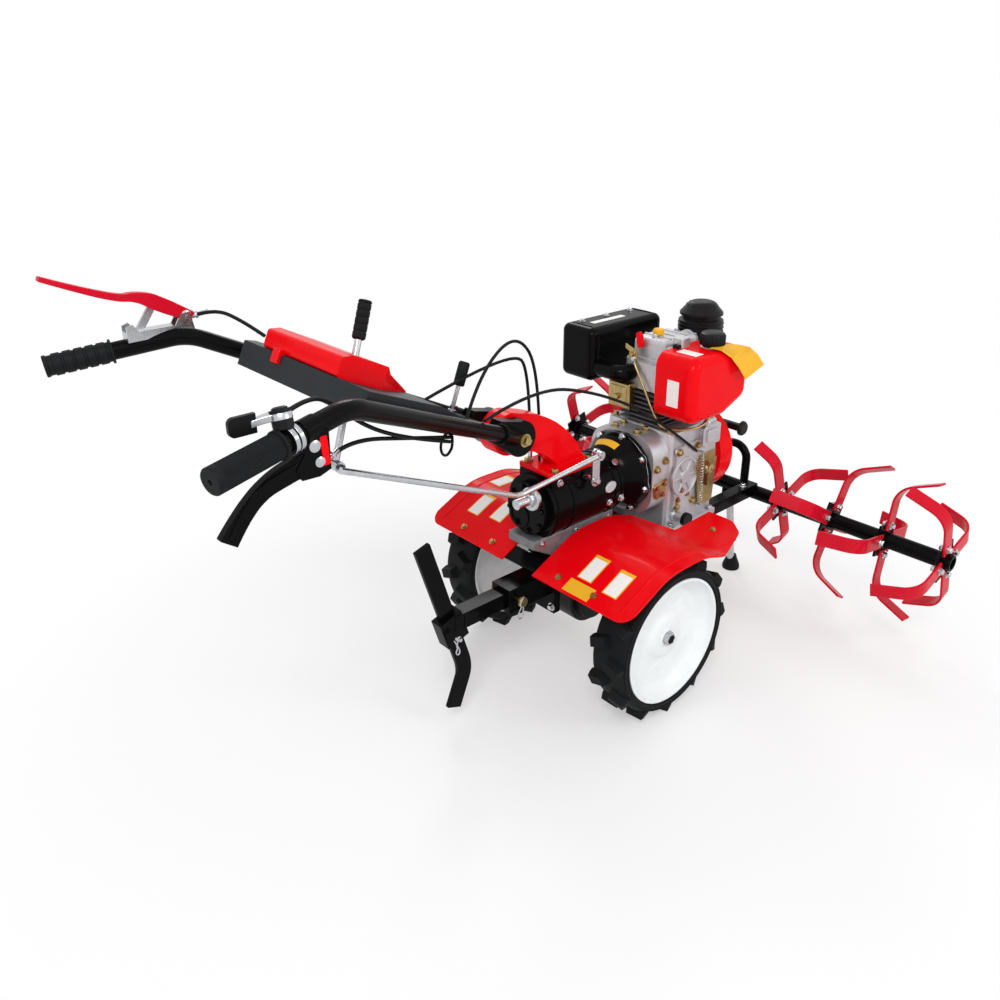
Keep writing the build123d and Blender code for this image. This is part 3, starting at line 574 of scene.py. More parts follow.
def bolt_table():
    """Every row of like bolt heads, by what they hold."""
    clear_of_pto = 36 * MM
    return (
        Bolts("bracket_bolts", "yellow_zinc", "bolt", UP,
              [at(x, s * 46, 582) for s in SIDES for x in (-136, -26)]),
        Bolts("gear_cover_bolts", "black_enamel", "small_bolt", BACK,
              [p for p in ring(at(-183, 0, GEAR_Z), BACK, 53, 8, 10)
               if (p - at(*PTO)).length > clear_of_pto]),
        Bolts("crankcase_bolts", "yellow_zinc", "bolt", RIGHT, [at(x, -112, z) for x, z in CASE_STUDS]),
        Bolts("crankcase_rear_bolts", "yellow_zinc", "bolt", RIGHT,
              route((160, -103, 520), (190, -103, 536), (192, -103, 476))),
        Bolts("deck_bolts", "yellow_zinc", "bolt", UP,
              [at(x, y, 600) for x in (220, 385) for y in (-88, 0, 88)]),
        Bolts("crankcase_top_bolts", "yellow_zinc", "bolt", UP,
              [at(x, y, 598) for x in (158, 190) for y in (-36, 36)]),
        Bolts("engine_foot_bolts", "zinc_plate", "bolt", UP,
              [at(x, s * 111.5, 345) for s in SIDES for x in (222, 384)]),
        Bolts("head_bolts", "zinc_plate", "small_bolt", UP,
              [at(x, s * 55, 758) for s in SIDES for x in (222, 368)]),
        Bolts("rocker_bolts", "zinc_plate", "small_bolt", UP, [at(x, 0, 818) for x in (250, 334)]),
        Bolts("muffler_bolts", "zinc_plate", "small_bolt", UP, [at(x, 196, 830) for x in (196, 288, 380)]),
        Bolts("shield_bolt", "yellow_zinc", "bolt", BACK, [at(183, 53, 668)]),
        Bolts("shroud_bolts", "zinc_plate", "small_bolt", FRONT, ring(at(470, 0, 487), FRONT, 94, 6, 30)),
        Bolts("drive_case_bolts", "zinc_plate", "small_bolt", RIGHT,
              [at(x, -45, z) for x, z in ((-172, 412), (-60, 408), (56, 408), (58, 312), (-56, 312))]),
        Bolts("shift_bolt", "zinc_plate", "bolt", RIGHT, [at(-48, -92, 550)]),
        Bolts("carrier_bolts", "zinc_plate", "bolt", UP, [at(600, s * 72, 330) for s in SIDES]),
        Bolts("hitch_bolts", "zinc_plate", "bolt", BACK,
              [at(-131, s * 38, z) for s in SIDES for z in (222, 334)]),
        Bolts("pivot_bolt_right", "yellow_zinc", "large_bolt", RIGHT,
              [at(PIVOT_X, -70, PIVOT_Z)], "handlebar"),
        Bolts("pivot_bolt_left", "yellow_zinc", "large_bolt", LEFT,
              [at(PIVOT_X, 70, PIVOT_Z)], "handlebar"),
    )


Reel = namedtuple("Reel", "name body side")
REELS = (Reel("left", "reel_left", 1), Reel("right", "reel_right", -1))
# Each plate of a reel: how far out it sits, and the turn of its first blade in degrees.
PLATES = ((165, 20), (322, 60), (476, 80), (632, 17))
BLADE_BOLT_R = 40


class TRACTOR_OT_bolts(bpy.types.Operator):
    """Set the rows of bolt heads on the castings, plates and reels"""

    bl_idname = "tractor.bolts"
    bl_label = "Fit the bolts"

    def execute(self, context):
        sizes = context.scene.tractor_sizes
        for row in bolt_table():
            across = getattr(sizes, row.size) / MM
            heads = [(bolt, place, row.direction, across, 0.35 * i) for i, place in enumerate(row.places)]
            make(row.name, row.finish, *heads, body=row.body)
        for reel in REELS:
            heads = []
            for y, phase in PLATES:
                for blade in range(4):
                    turn = math.radians(phase + 90 * blade)
                    x, z = BAR_X + BLADE_BOLT_R * math.cos(turn), BAR_Z + BLADE_BOLT_R * math.sin(turn)
                    for off, way in ((9, reel.side), (-3, -reel.side)):
                        place = at(x, reel.side * (y + off), z)
                        heads.append((bolt, place, (0, way, 0), sizes.bolt / MM, turn))
            make(f"blade_bolts_{reel.name}", "zinc_plate", *heads, body=reel.body)
        return {"FINISHED"}


def spokes(hub, count, near, far, low, high):
    """Ribs that run out from a hub, for make()."""
    outline = ((near, -3), (far, -3), (far, 3), (near, 3))
    turns = [Matrix.Rotation(i * 2 * math.pi / count, 4, "Z") for i in range(count)]
    return [(slab, outline, hub @ turn, low, high) for turn in turns]


def dress_tank(sizes):
    """Makes the tank's cap, tag, labels, bracket and pipe, and the oil spout."""
    cap = seat(300, -135, 812, UP)
    make("tank_cap_ribbed", "black_abs",
         (lathe, ((0, 0), (24, 0), (24, 5), (30, 6), (31, 9), (31, 28), (28, 33)), cap, 56, 1.6),
         (lathe, ((28, 33), (24, 35.5), (10, 36), (0, 36)), cap, 56), replaces=("tank_cap",))
    make("tank_neck", "zinc_plate",
         (lathe, ((0, 808), (28, 808), (28, 813), (24, 817), (0, 817)), seat(300, -135, 0, UP), 32))
    make("fuel_tag", "yellow_abs", (card, (
        (292, -152, 818, 28, 0), (306, -180, 817.5, 33, 0.05), (326, -198, 806, 35, 0.2),
        (352, -206, 780, 36, 0.3), (376, -211, 750, 37, 0.3))), smooth=60)
    make("tank_label", "white_vinyl", (slab, rounded(34, 64, 2), seat(163, -132, 722, BACK), -0.5, 0.5))
    make("tank_top_label", "white_vinyl",
         (slab, rounded(30, 58, 2), seat(214, -135, 812, UP), -0.5, 0.5))
    make("tank_bracket", "cast_aluminium",
         (slab, rounded(34, 30, 7), seat(246, -85, 800, UP), 0, 35),
         (slab, rounded(26, 26, 4), seat(246, -45, 790, RIGHT), 0, 36), bevel=1.5)
    make("tank_clip", "black_abs", (slab, rounded(14, 18, 3), seat(225, -88, 811, UP), 0, 10), bevel=1.0)
    make("oil_spout", "cast_aluminium",
         (lathe, ((10, -1), (18, -1), (18, 4), (14.5, 8), (14.5, 32.5), (10, 32.5), (10, -1)),
          seat(240, -105, 372, RIGHT), 32), bevel=0.8)
    make("muffler_label", "white_vinyl",
         (slab, rounded(120, 18, 2), seat(262, 168, 830, UP), -0.5, 0.5))
    make("fuel_pipe", "yellow_zinc", (tube, route(
        (216, 29, 764), (203, 29, 764), (203, 1, 722), (200, -54, 636), (202, -78, 608), (262, -124, 603),
        (318, -134, 614), (322, -134, 652)), sizes.pipe))
    make("pipe_nuts", "zinc_plate",
         (bolt, at(212, 29, 764), BACK, 13),
         (lathe, ((0, 0), (7, 0), (7, 10), (0, 10)), seat(322, -134, 641, UP), 6))


def dress_head():
    """Makes the cylinder head's levers, caps and pipe, and the air filter's ribs."""
    make("lever_bracket", "yellow_zinc",
         (slab, ((-16, -14), (16, -10), (12, 14), (-14, 22), (-24, 26), (-24, 14), (-10, 8)),
          seat(212, 34, 772, BACK), 0, 4),
         (bolt, at(208, 34, 774), BACK, 11), bevel=0.6)
    make("decompression_lever", "red_enamel",
         (slab, ((-7, -14), (7, -14), (9, 16), (3, 26), (-8, 22)), seat(224, 22, 806, BACK, 0.2), -2, 8),
         bevel=1.0)
    make("rocker_filler", "yellow_abs",
         (lathe, ((0, 0), (11, 0), (11, 4), (14, 5), (14, 14), (11, 17), (0, 17)),
          seat(268, 4, 818, UP), 36, 0.8))
    make("rocker_rim", "cast_aluminium",
         (slab, rounded(128, 104, 14), seat(292, 0, 758, UP), -2, 8),
         *((slab, rounded(5, 84, 2), seat(x, 0, 818, UP), -2, 2.5) for x in (262, 292, 322)), bevel=1.0)
    profile = [(0, 0), (24, 0), (24, 10)]
    for low in range(12, 67, 11):
        profile += [(20, low), (20, low + 6), (24, low + 8), (24, low + 11)]
    make("intake_pipe", "cast_aluminium",
         (lathe, profile + [(0, 67)], seat(345, 2, 786, (1, 0.05, 0.06)), 28))
    top = at(450, 12, 862)
    make("filter_ribs", "black_abs",
         *((lathe, ((57, z - 2), (59.6, z - 1), (59.6, z + 1), (57, z + 2), (57, z - 2)),
            seat(450, 12, 0, UP), 48) for z in (790, 800, 810, 820)),
         *((slab, rounded(3, 14, 1), facing(place, (place - top).normalized()), -6, 5)
           for place in ring(top, UP, 36, 12)), bevel=0.6)


def dress_case():
    """Makes the crankcase's webs, covers, pump, governor and spring."""
    hub = seat(262, -112, 476, RIGHT)
    make("case_web", "cast_aluminium",
         (lathe, ((44, -1), (45, 5), (52, 5), (53, -1), (44, -1)), hub, 40),
         (lathe, ((0, -1), (20, -1), (18, 6), (0, 6)), hub, 24),
         *spokes(hub, 6, 17, 46, -1, 4),
         *((lathe, ((0, -1), (13, -1), (11.5, 4), (0, 4)), seat(x, -108, z, RIGHT), 20)
           for x, z in CASE_STUDS), bevel=1.0)
    plate = seat(302, 105, 474, LEFT)
    make("left_case_cover", "cast_aluminium",
         (slab, rounded(206, 158, 26, 6), plate, -2, 6),
         (lathe, ((0, 6), (52, 6), (48, 13), (20, 15), (0, 15)), plate, 48),
         *spokes(plate, 8, 50, 74, 4, 9), bevel=1.5)
    make("left_case_bolts", "zinc_plate", *(
        (bolt, at(x, 111, z), LEFT, 11)
        for x, z in ((216, 410), (216, 538), (302, 404), (302, 544), (388, 410), (388, 538))))
    make("pump_box", "cast_aluminium",
         (slab, rounded(72, 54, 8), seat(356, -104, 566, RIGHT), -2, 16),
         (slab, rounded(48, 34, 6), seat(356, -120, 566, RIGHT), -2, 5),
         (lathe, ((0, 0), (10, 0), (10, 12), (7, 14), (7, 24), (0, 24)), seat(340, -112, 592, UP), 20),
         bevel=2.0)
    make("sump_cover", "yellow_zinc",
         (slab, rounded(40, 40, 7), seat(172, -103, 462, RIGHT, 0.2), -6, 6), bevel=1.5)
    make("sump_bolts", "copper",
         *((bolt, at(x, -109, z), RIGHT, 9) for x, z in ((158, 472), (184, 478), (180, 450))),
         *((bolt, at(x, -112, z), RIGHT, 10) for x, z in ((252, 440), (240, 416), (276, 424))), bevel=0.3)
    make("governor_arm", "yellow_zinc",
         (slab, ((-44, 62), (42, 54), (34, -66), (4, -72), (-28, -58)), seat(345, -116, 445, RIGHT), -1, 3),
         (lathe, ((0, 3), (17, 3), (15, 9), (8, 14), (0, 15)), seat(352, -116, 474, RIGHT), 28), bevel=0.8)
    low, high = at(316, -127, 398), at(312, -127, 520)
    rise, turns, radius = high - low, 16, 4.6 * MM
    pitch = rise.length / turns
    coil = [
        facing(low, rise) @ Vector((radius * math.cos(a), radius * math.sin(a), pitch * a / (2 * math.pi)))
        for a in (i * math.pi / 4 for i in range(8 * turns + 1))]
    line = [low - rise * 0.1] + coil + [high + rise * 0.1]
    make("governor_spring", "zinc_plate", (tube, line, 1.1 * MM, 2))
    post = ((0, 0), (3.2, 0), (3.2, 18), (0, 18))
    make("spring_posts", "zinc_plate",
         (bolt, at(316, -112, 384), RIGHT, 9),
         (lathe, post, seat(316, -112, 385, RIGHT), 14),
         (lathe, post, seat(312, -112, 532, RIGHT), 14))


def dress_covers():
    """Makes the exhaust shield's rim, the fan's grille and hub, the starter knob and the muffler's seams."""
    make("shield_rim", "yellow_zinc", (slab, rounded(54, 50, 7), seat(183, 53, 670, BACK), -1, 2), bevel=1.0)
    slots = []
    middle = at(469.5, 0, 487)
    for place in ring(middle, FRONT, 62, 18):
        away = place - middle
        slots.append((slab, rounded(34, 7, 3), facing(place, FRONT, math.atan2(away.z, away.y)), -1, 1.4))
    make("fan_grille", "black_enamel", *slots, bevel=0.5)
    make("recoil_knob", "black_abs",
         (lathe, ((0, 0), (10, 0), (15, 5), (20, 9), (20, 14), (16, 19), (0, 19)),
          seat(493, -106, 548, RIGHT), 32), bevel=0.6)
    make("recoil_hub", "red_enamel",
         (lathe, ((0, 0), (36, 0), (34, 6), (18, 9), (0, 9)), seat(469, 0, 487, FRONT), 36), bevel=1.0)
    seams = []
    for x in (172, 402):
        rim = seat(x, 173.5, 761, FRONT)
        outline = [rim @ Vector((a * MM, b * MM, 0)) for a, b in rounded(114, 139, 30, 6)]
        seams.append((tube, outline + outline[:1], 1.8 * MM, 2))
    make("muffler_seams", "black_enamel", *seams)


class TRACTOR_OT_engine(bpy.types.Operator):
    """Dress the engine with its cap, pipe, levers, covers, spring and grille"""

    bl_idname = "tractor.engine"
    bl_label = "Dress the engine"

    def execute(self, context):
        dress_tank(context.scene.tractor_sizes)
        dress_head()
        dress_case()
        dress_covers()
        return {"FINISHED"}


def bell_spot(x, degrees):
    """A point on the clutch bell's cone and the way out of it, turned from the right side up and over."""
    # The cone grows from 76 mm at x = 86 to 92 mm at x = 112, so its skin leans back by 0.524.
    turn = math.radians(degrees)
    spoke = Vector((0, -math.cos(turn), math.sin(turn)))
    return at(x, 0, CRANK_Z) + spoke * (76 + (x - 86) * 16 / 26) * MM, Vector((-0.524, 0, 0)) + spoke * 0.852


def dress_bell():
    """Makes the clutch bell's lobed flange, gasket, bolts, plug and blank label."""
    lobes, steps, first = 8, 96, 11
    outline = []
    for turn in (2 * math.pi * i / steps for i in range(steps)):
        reach = 99.5 + 7 * max(0.0, math.cos(lobes * turn)) ** 2
        outline.append((reach * math.cos(turn), reach * math.sin(turn)))
    face = seat(124, 0, CRANK_Z, FRONT, math.radians(first))
    make("bell_flange", "black_enamel", (slab, outline, face, 0, 8), bevel=0.8)
    make("bell_gasket", "zinc_plate", (slab, [(x * 1.006, y * 1.006) for x, y in outline], face, 8, 9.6))
    make("bell_back_flange", "black_enamel",
         (slab, [(x * 1.002, y * 1.002) for x, y in outline], face, 9.6, 16), bevel=0.8)
    make("bell_bolts", "zinc_plate", *(
        (bolt, place, BACK, 12) for place in ring(at(124, 0, CRANK_Z), FRONT, 98, lobes, first)))
    oval = [(19 * math.cos(i * math.pi / 12), 12 * math.sin(i * math.pi / 12)) for i in range(24)]
    make("bell_plug", "cast_aluminium",
         (slab, oval, seat(21, -72, 507, (0, -1, 0.2), 0.3), -4, 8), bevel=1.5)
    spots = [[bell_spot(x, degrees) for degrees in range(72, 124, 5)] for x in (89, 97, 105)]
    make("bell_label", "yellow_abs", (wrap_sheet, spots, 0.8))


class TRACTOR_OT_transmission(bpy.types.Operator):
    """Dress the gearbox and clutch bell with their flange, gasket, ribs and plugs"""

    bl_idname = "tractor.transmission"
    bl_label = "Dress the transmission"

    def execute(self, context):
        dress_bell()
        line = seat(0, 0, GEAR_Z, FRONT)
        make("gearbox_ribs", "black_enamel",
             *((lathe, ((76, x - 3), (80.5, x - 2), (80.5, x + 2), (76, x + 3), (76, x - 3)), line, 64)
               for x in (-150, -100, 40, 62)),
             (lathe, ((24, -1), (25, 3), (33, 3), (34, -1), (24, -1)), seat(-183, 22, 468, BACK), 36),
             bevel=1.0)
        make("gearbox_side_bolts", "zinc_plate",
             (bolt, at(-128, -54, 556), RIGHT, 11),
             (bolt, at(54, -58, 556), (0, -0.65, 0.76), 11),
             *((bolt, at(x, -75, 468), (0, -0.96, -0.28), 12) for x in (20, 60)))
        make("clutch_cable_end", "zinc_plate",
             (lathe, ((0, 0), (8, 0), (8, 5), (5.5, 6), (5.5, 34), (4.4, 40), (4.4, 58), (0, 58)),
              seat(-128, 45, 582, UP), 18))
        make("pto_lip", "zinc_plate",
             (lathe, ((12, -9), (27, -9), (28, -7), (28, 2), (26, 4), (18, 4), (17, 10), (12, 12), (12, -9)),
              seat(-195, -30, 528, BACK), 40), bevel=0.5)
        make("final_drive_ribs", "dull_aluminium",
             *((slab, ((54, -4), (104, -3), (104, 3), (54, 4)),
                seat(0, -44, AXLE_Z, RIGHT, math.radians(turn)), -2, 5) for turn in (50, 90, 130)),
             bevel=1.0)
        return {"FINISHED"}


def on_handlebar(name, finish, *forms, **how):
    """Makes a piece that rides on the handlebar."""
    make(name, finish, *forms, body="handlebar", **how)


def grip_point(side, run):
    """A point on a grip's centre line, millimetres back from where its tube turns."""
    return at(-795 - 0.967 * run, side * (282 + 0.2255 * run), 955 - 0.1127 * run)


def dress_grips():
    """Makes the blocked left grip and the ribbed right grip."""
    lines = {}
    for side in SIDES:
        start, end = grip_point(side, GRIP_END - 110), grip_point(side, GRIP_END + 6)
        lines[side] = facing(start, end - start)
    profile = [(0, 0), (22.5, 0), (22.5, 4), (18.2, 5)]
    for low in range(10, 105, 19):
        profile += [(18.2, low), (20.2, low + 1), (20.2, low + 14), (18.2, low + 15)]
    profile += [(18.2, 109), (20, 110), (20, 115), (18.5, 116), (0, 116)]
    on_handlebar("grip_left_blocks", "black_rubber", (lathe, profile, lines[1], 32), replaces=("grip_left",))
    on_handlebar(
        "grip_right_ribs", "black_rubber",
        (lathe, ((0, 0), (22, 0), (22, 4), (20, 5)), lines[-1], 64),
        (lathe, ((20, 5), (20, 104)), lines[-1], 64, 1.1),
        (lathe, ((20, 104), (20, 114), (18.5, 116), (4, 116), (3.4, 112), (0, 112)), lines[-1], 64),
        replaces=("grip_right",))


def dress_levers():
    """Makes the gear, clutch and side levers."""
    foot, top = at(-722, -99, 786), at(-607, -50, 1046)
    rise = top - foot
    rod = rise.length / MM * 0.8
    on_handlebar(
        "gear_rod", "zinc_plate",
        (lathe, ((0, 0), (6.4, 0), (6.4, rod), (0, rod)), facing(foot, rise), 24),
        (lathe, ((6, -18), (10, -18), (10, 18), (6, 18), (6, -18)), facing(foot, LEFT), 24),
        replaces=("gear_lever",))
    reach = rise.length / MM * 0.24
    step = (reach - 8) / 5
    profile = [(0, 0), (9, 0), (11.2, 2)]
    for i in range(5):
        low = 4 + i * (reach - 8) / 5
        profile += [(12, low), (12, low + step - 2.4), (10.8, low + step - 1.6)]
    profile += [(12.4, reach - 3), (11, reach - 0.3), (0, reach - 0.3)]
    on_handlebar("gear_knob", "black_rubber", (lathe, profile, facing(along(foot, top, 0.76), rise), 24, 0.9))
    on_handlebar(
        "clutch_lever_forged", "crimson_enamel",
        (bar, route(
            (-776, 298, 984), (-822, 298, 1010), (-868, 298, 1036), (-914, 298, 1037), (-1027, 298, 1088)),
         (20, 27, 28, 20, 14, 13, 9), 18, LEFT), bevel=2.0, replaces=("clutch_lever",))
    on_handlebar(
        "side_lever_forged", "black_enamel",
        (lathe, ((16.7, 66), (18.6, 66), (18.6, 96), (16.7, 96), (16.7, 66)),
         facing(grip_point(-1, 0), grip_point(-1, 1) - grip_point(-1, 0)), 40),
        (slab, ((-888, 946), (-850, 946), (-851, 886), (-870, 879), (-898, 880), (-906, 898), (-892, 916)),
         seat(0, -308, 0, RIGHT), -9, 9),
        (bar, [at(x, -308, z) for x, z in ((-884, 904), (-926, 894), (-962, 878), (-994, 847), (-1013, 821))],
         (34, 31, 26, 24, 25, 28), 14, LEFT), bevel=2.0, replaces=("side_lever",))
    on_handlebar(
        "side_lever_ridge", "black_enamel",
        (bar, [at(x, -315, z) for x, z in ((-902, 906), (-932, 898), (-964, 884), (-994, 853), (-1010, 830))],
         (5, 9, 10, 9, 6), 4, LEFT), bevel=1.2)


def dress_tubes():
    """Makes the lugs at the pivot, the cover's tab, the lever's patch and rivets, and the cable ends."""
    tail = math.pi - RISE
    nose, reach, half = 40, 74, 24
    outline = [
        (nose * math.cos(tail + a), nose * math.sin(tail + a)) for a in map(math.radians, range(60, 301, 10))]
    outline += [
        (reach * math.cos(tail) - h * math.sin(tail), reach * math.sin(tail) + h * math.cos(tail))
        for h in (-half, half)]
    middle = seat(PIVOT_X, 0, PIVOT_Z, RIGHT)
    forms = [(slab, outline, middle, low, high) for low, high in ((27, 61), (-61, -27))]
    for side in SIDES:
        start = at(PIVOT_X, side * 46, PIVOT_Z)
        forms.append((
            lathe, ((16, 14), (19, 14), (20, 30), (20, 84), (21.5, 86), (21.5, 96), (16, 97), (16, 14)),
            facing(start, at(-795, side * 282, 955) - start), 32))
    on_handlebar("pivot_lugs", "black_enamel", *forms, bevel=3.0)
    tab = Matrix.Translation(on_handle(571, 30, 24)) @ Matrix.Rotation(-RISE, 4, "Y").inverted()
    on_handlebar(
        "cover_tab", "red_enamel", (slab, ((-6, -12), (7, -12), (7, 12), (-6, 12)), tab, -13, 12), bevel=1.0)
    on_handlebar(
        "lever_patch", "red_enamel",
        (slab, rounded(11, 44, 2), seat(-859, -317, 916, RIGHT, math.radians(4)), -0.6, 0.8))
    points = ring(at(-522, -154, 786), (-0.9, 0.2, 0.35), 21, 12)
    on_handlebar("tube_ring", "black_enamel", (tube, points + points[:1], 2.6 * MM))
    on_handlebar("lever_rivets", "zinc_plate", *(
        (lathe, ((0, 0), (r, 0), (r, 1.5), (r * 0.7, 3), (0, 3.4)), seat(x, y, z, RIGHT), 24)
        for x, y, z, r in ((-874, -316, 926, 9), (-868, -316, 901, 8), (-788, 289, 990, 9))))
    on_handlebar(
        "lever_ferrules", "zinc_plate",
        (lathe, ((0, 0), (5, 0), (5, 8), (7, 9), (7, 13), (4.6, 14), (4.6, 34), (0, 34)),
         seat(-776, 298, 983.3, (34, -20, 10)), 20),
        (lathe, ((0, 0), (4.6, 0), (4.6, 16), (6.4, 17), (6.4, 21), (4.4, 22), (4.4, 38), (0, 38)),
         seat(-851, -306, 895, (76, 60, 0)), 20))


def dress_controls():
    """Makes the throttle's clamp, cap and arm, and the lock lever's washer and grip."""
    on_handlebar(
        "throttle_screws", "zinc_plate",
        (bolt, at(-911, -307, 971), RIGHT, 10),
        (bolt, grip_point(-1, 112) + Vector((0, 0, -17 * MM)), DOWN, 8))
    foot = at(-343, 60, 751.5)
    on_handlebar(
        "lock_washers", "zinc_plate",
        (lathe, ((0, 0), (9, 0), (9, 3), (6.5, 4), (6.5, 12), (0, 12)),
         facing(foot, at(-308, 60, 840) - foot), 20))
    low, high = at(-322, 60, 804), at(-306, 60, 845)
    reach = (high - low).length / MM
    on_handlebar(
        "lock_grip", "black_rubber",
        (lathe, ((0, -1), (10.4, -1), (12.4, 2), (12.4, reach + 3), (10, reach + 7), (0, reach + 7)),
         facing(low, high - low), 24, 0.7))
    line = facing(grip_point(-1, 0), grip_point(-1, 1) - grip_point(-1, 0))
    inner, outer = 20, 21.7
    on_handlebar("throttle_bands", "zinc_plate", *(
        (lathe, ((inner, s), (outer, s), (outer, s + 7), (inner, s + 7), (inner, s)), line, 40)
        for s in (104.5, 114.5)), bevel=0.4)
    foot, top = at(-911, -305, 958), at(-911, -297, 984)
    on_handlebar(
        "throttle_cap", "zinc_plate",
        (lathe, ((0, 0), (15.6, 0), (15.6, 8), (13, 12), (7, 14), (0, 14)),
         facing(along(foot, top, 0.5), top - foot), 36))
    on_handlebar(
        "throttle_top", "black_abs",
        (lathe, ((0, 26), (11.5, 26), (11, 29.5), (8, 31), (0, 31)), facing(foot, top - foot), 32))
    on_handlebar(
        "throttle_arm", "zinc_plate",
        (bar, route((-909, -299, 978), (-930, -291.5, 975), (-949, -285.5, 969.5)), (22, 15, 10.5), 10, UP),
        bevel=1.0)


class TRACTOR_OT_handle(bpy.types.Operator):
    """Dress the handle with its grips, levers, lugs, clamps and cable ends"""

    bl_idname = "tractor.handle"
    bl_label = "Dress the handle"

    def execute(self, context):
        dress_grips()
        dress_levers()
        dress_tubes()
        dress_controls()
        return {"FINISHED"}


class TRACTOR_OT_wheels(bpy.types.Operator):
    """Dress the wheels with rolled rim lips, hub collars and tyre bead lines"""

    bl_idname = "tractor.wheels"
    bl_label = "Dress the wheels"

    def execute(self, context):
        roll = [i * math.pi / 5 for i in range(11)]
        lip = [(153 + 3.2 * math.cos(a), 311.4 + 3.2 * math.sin(a)) for a in roll]
        for name, side in (("left", 1), ("right", -1)):
            outward = seat(0, 0, AXLE_Z, (0, side, 0))
            make(f"rim_lip_{name}", "white_enamel", (lathe, lip, outward, 96), body="wheelset")
            make(f"bead_lines_{name}", "tyre_rubber", *(
                (lathe, ((r - 2, 314), (r - 1, 315.8), (r + 1, 315.8), (r + 2, 314), (r - 2, 314)),
                 outward, 80)
                for r in (163, 174)), body="wheelset")
            make(f"axle_rim_{name}", "zinc_plate",
                 (lathe, ((12.5, 300), (16, 300), (15.6, 303), (12.5, 303), (12.5, 300)), outward, 6),
                 body="wheelset")
            # A thin black disc over the axle's end: painted shade that stands for the hex hole in the hub.
            make(f"axle_bore_{name}", "black_enamel",
                 (lathe, ((0, 299.5), (12.6, 299.5), (12.6, 300.8), (0, 300.4)), outward, 6), body="wheelset")
            make(f"hub_collar_{name}", "zinc_plate",
                 (lathe, ((18, 0), (29, 0), (29, 7), (18, 9), (18, 0)),
                  seat(0, side * 112, AXLE_Z, (0, -side, 0)), 32), body="wheelset")
        return {"FINISHED"}


def drop(sheet, over):
    """Where a fender's sheet lies under a point, and the way up from it."""
    hit, normal = sheet.ray_cast(over, Vector(DOWN))[:2]
    if hit is None:
        raise ValueError("a label or bolt reaches past the sheet under it")
    return hit, normal if normal.z > 0 else -normal


def lay_label(work, sheet, middle, half_length, half_width, lift):
    """Adds a thin label that follows the sheet under it, from just below its skin to a lift over it."""
    wrap_sheet(work, [
        [drop(sheet, middle + Vector(((row / 3 - 1) * half_length, (column / 2 - 1) * half_width, 0)))
         for column in range(5)] for row in range(7)], lift)


class TRACTOR_OT_fenders(bpy.types.Operator):
    """Give the fenders their rolled edges, pressed lines and blank labels"""

    bl_idname = "tractor.fenders"
    bl_label = "Dress the fenders"

    def execute(self, context):
        sizes = context.scene.tractor_sizes
        labels = {1: ((-9, 278), (-117, 240), (-107, 165)), -1: ((-136, 174), (-142, 254))}
        long, wide = sizes.label_length / 2, sizes.label_width / 2
        for name, side in (("left", 1), ("right", -1)):
            mesh = NODES[f"fender_{name}"].data
            sheet = BVHTree.FromPolygons([v.co for v in mesh.vertices], [p.vertices for p in mesh.polygons])
            for tag, y, radius in (("hem", 337.4, sizes.hem / MM), ("pressing", 306, 3.4)):
                points = []
                for x in range(-190, 258, 6):
                    hit = sheet.ray_cast(at(x, side * y, OVER_FENDERS), Vector(DOWN))[0]
                    if hit is not None:
                        points.append(hit - Vector((0, 0, radius * 0.55 * MM)))
                if len(points) < 4:
                    raise ValueError(f"the {tag} of fender_{name} finds no sheet under it")
                make(f"fender_{tag}_{name}", "red_enamel", (tube, points, radius * MM, 3), smooth=60)
            make(f"fender_bolts_{name}", "yellow_zinc", *(
                (bolt, *drop(sheet, at(x, side * y, OVER_FENDERS)), sizes.small_bolt / MM)
                for x, y in ((-187, 115), (-187, 224), (215, 243))))
            make(f"fender_labels_{name}", "white_vinyl", *(
                (lay_label, sheet, at(x, side * y, OVER_FENDERS), long - 5 * MM, wide - 3 * MM, 1.0)
                for x, y in labels[side]))
            edges = [
                (lay_label, sheet, at(x + 3, side * y, OVER_FENDERS), long, wide, 0.5)
                for x, y in labels[side]]
            if side < 0:
                edges.append((lay_label, sheet, at(-190, -182, OVER_FENDERS), 16 * MM, 38 * MM, 0.5))
            make(f"fender_label_edges_{name}", "yellow_abs", *edges)
        return {"FINISHED"}


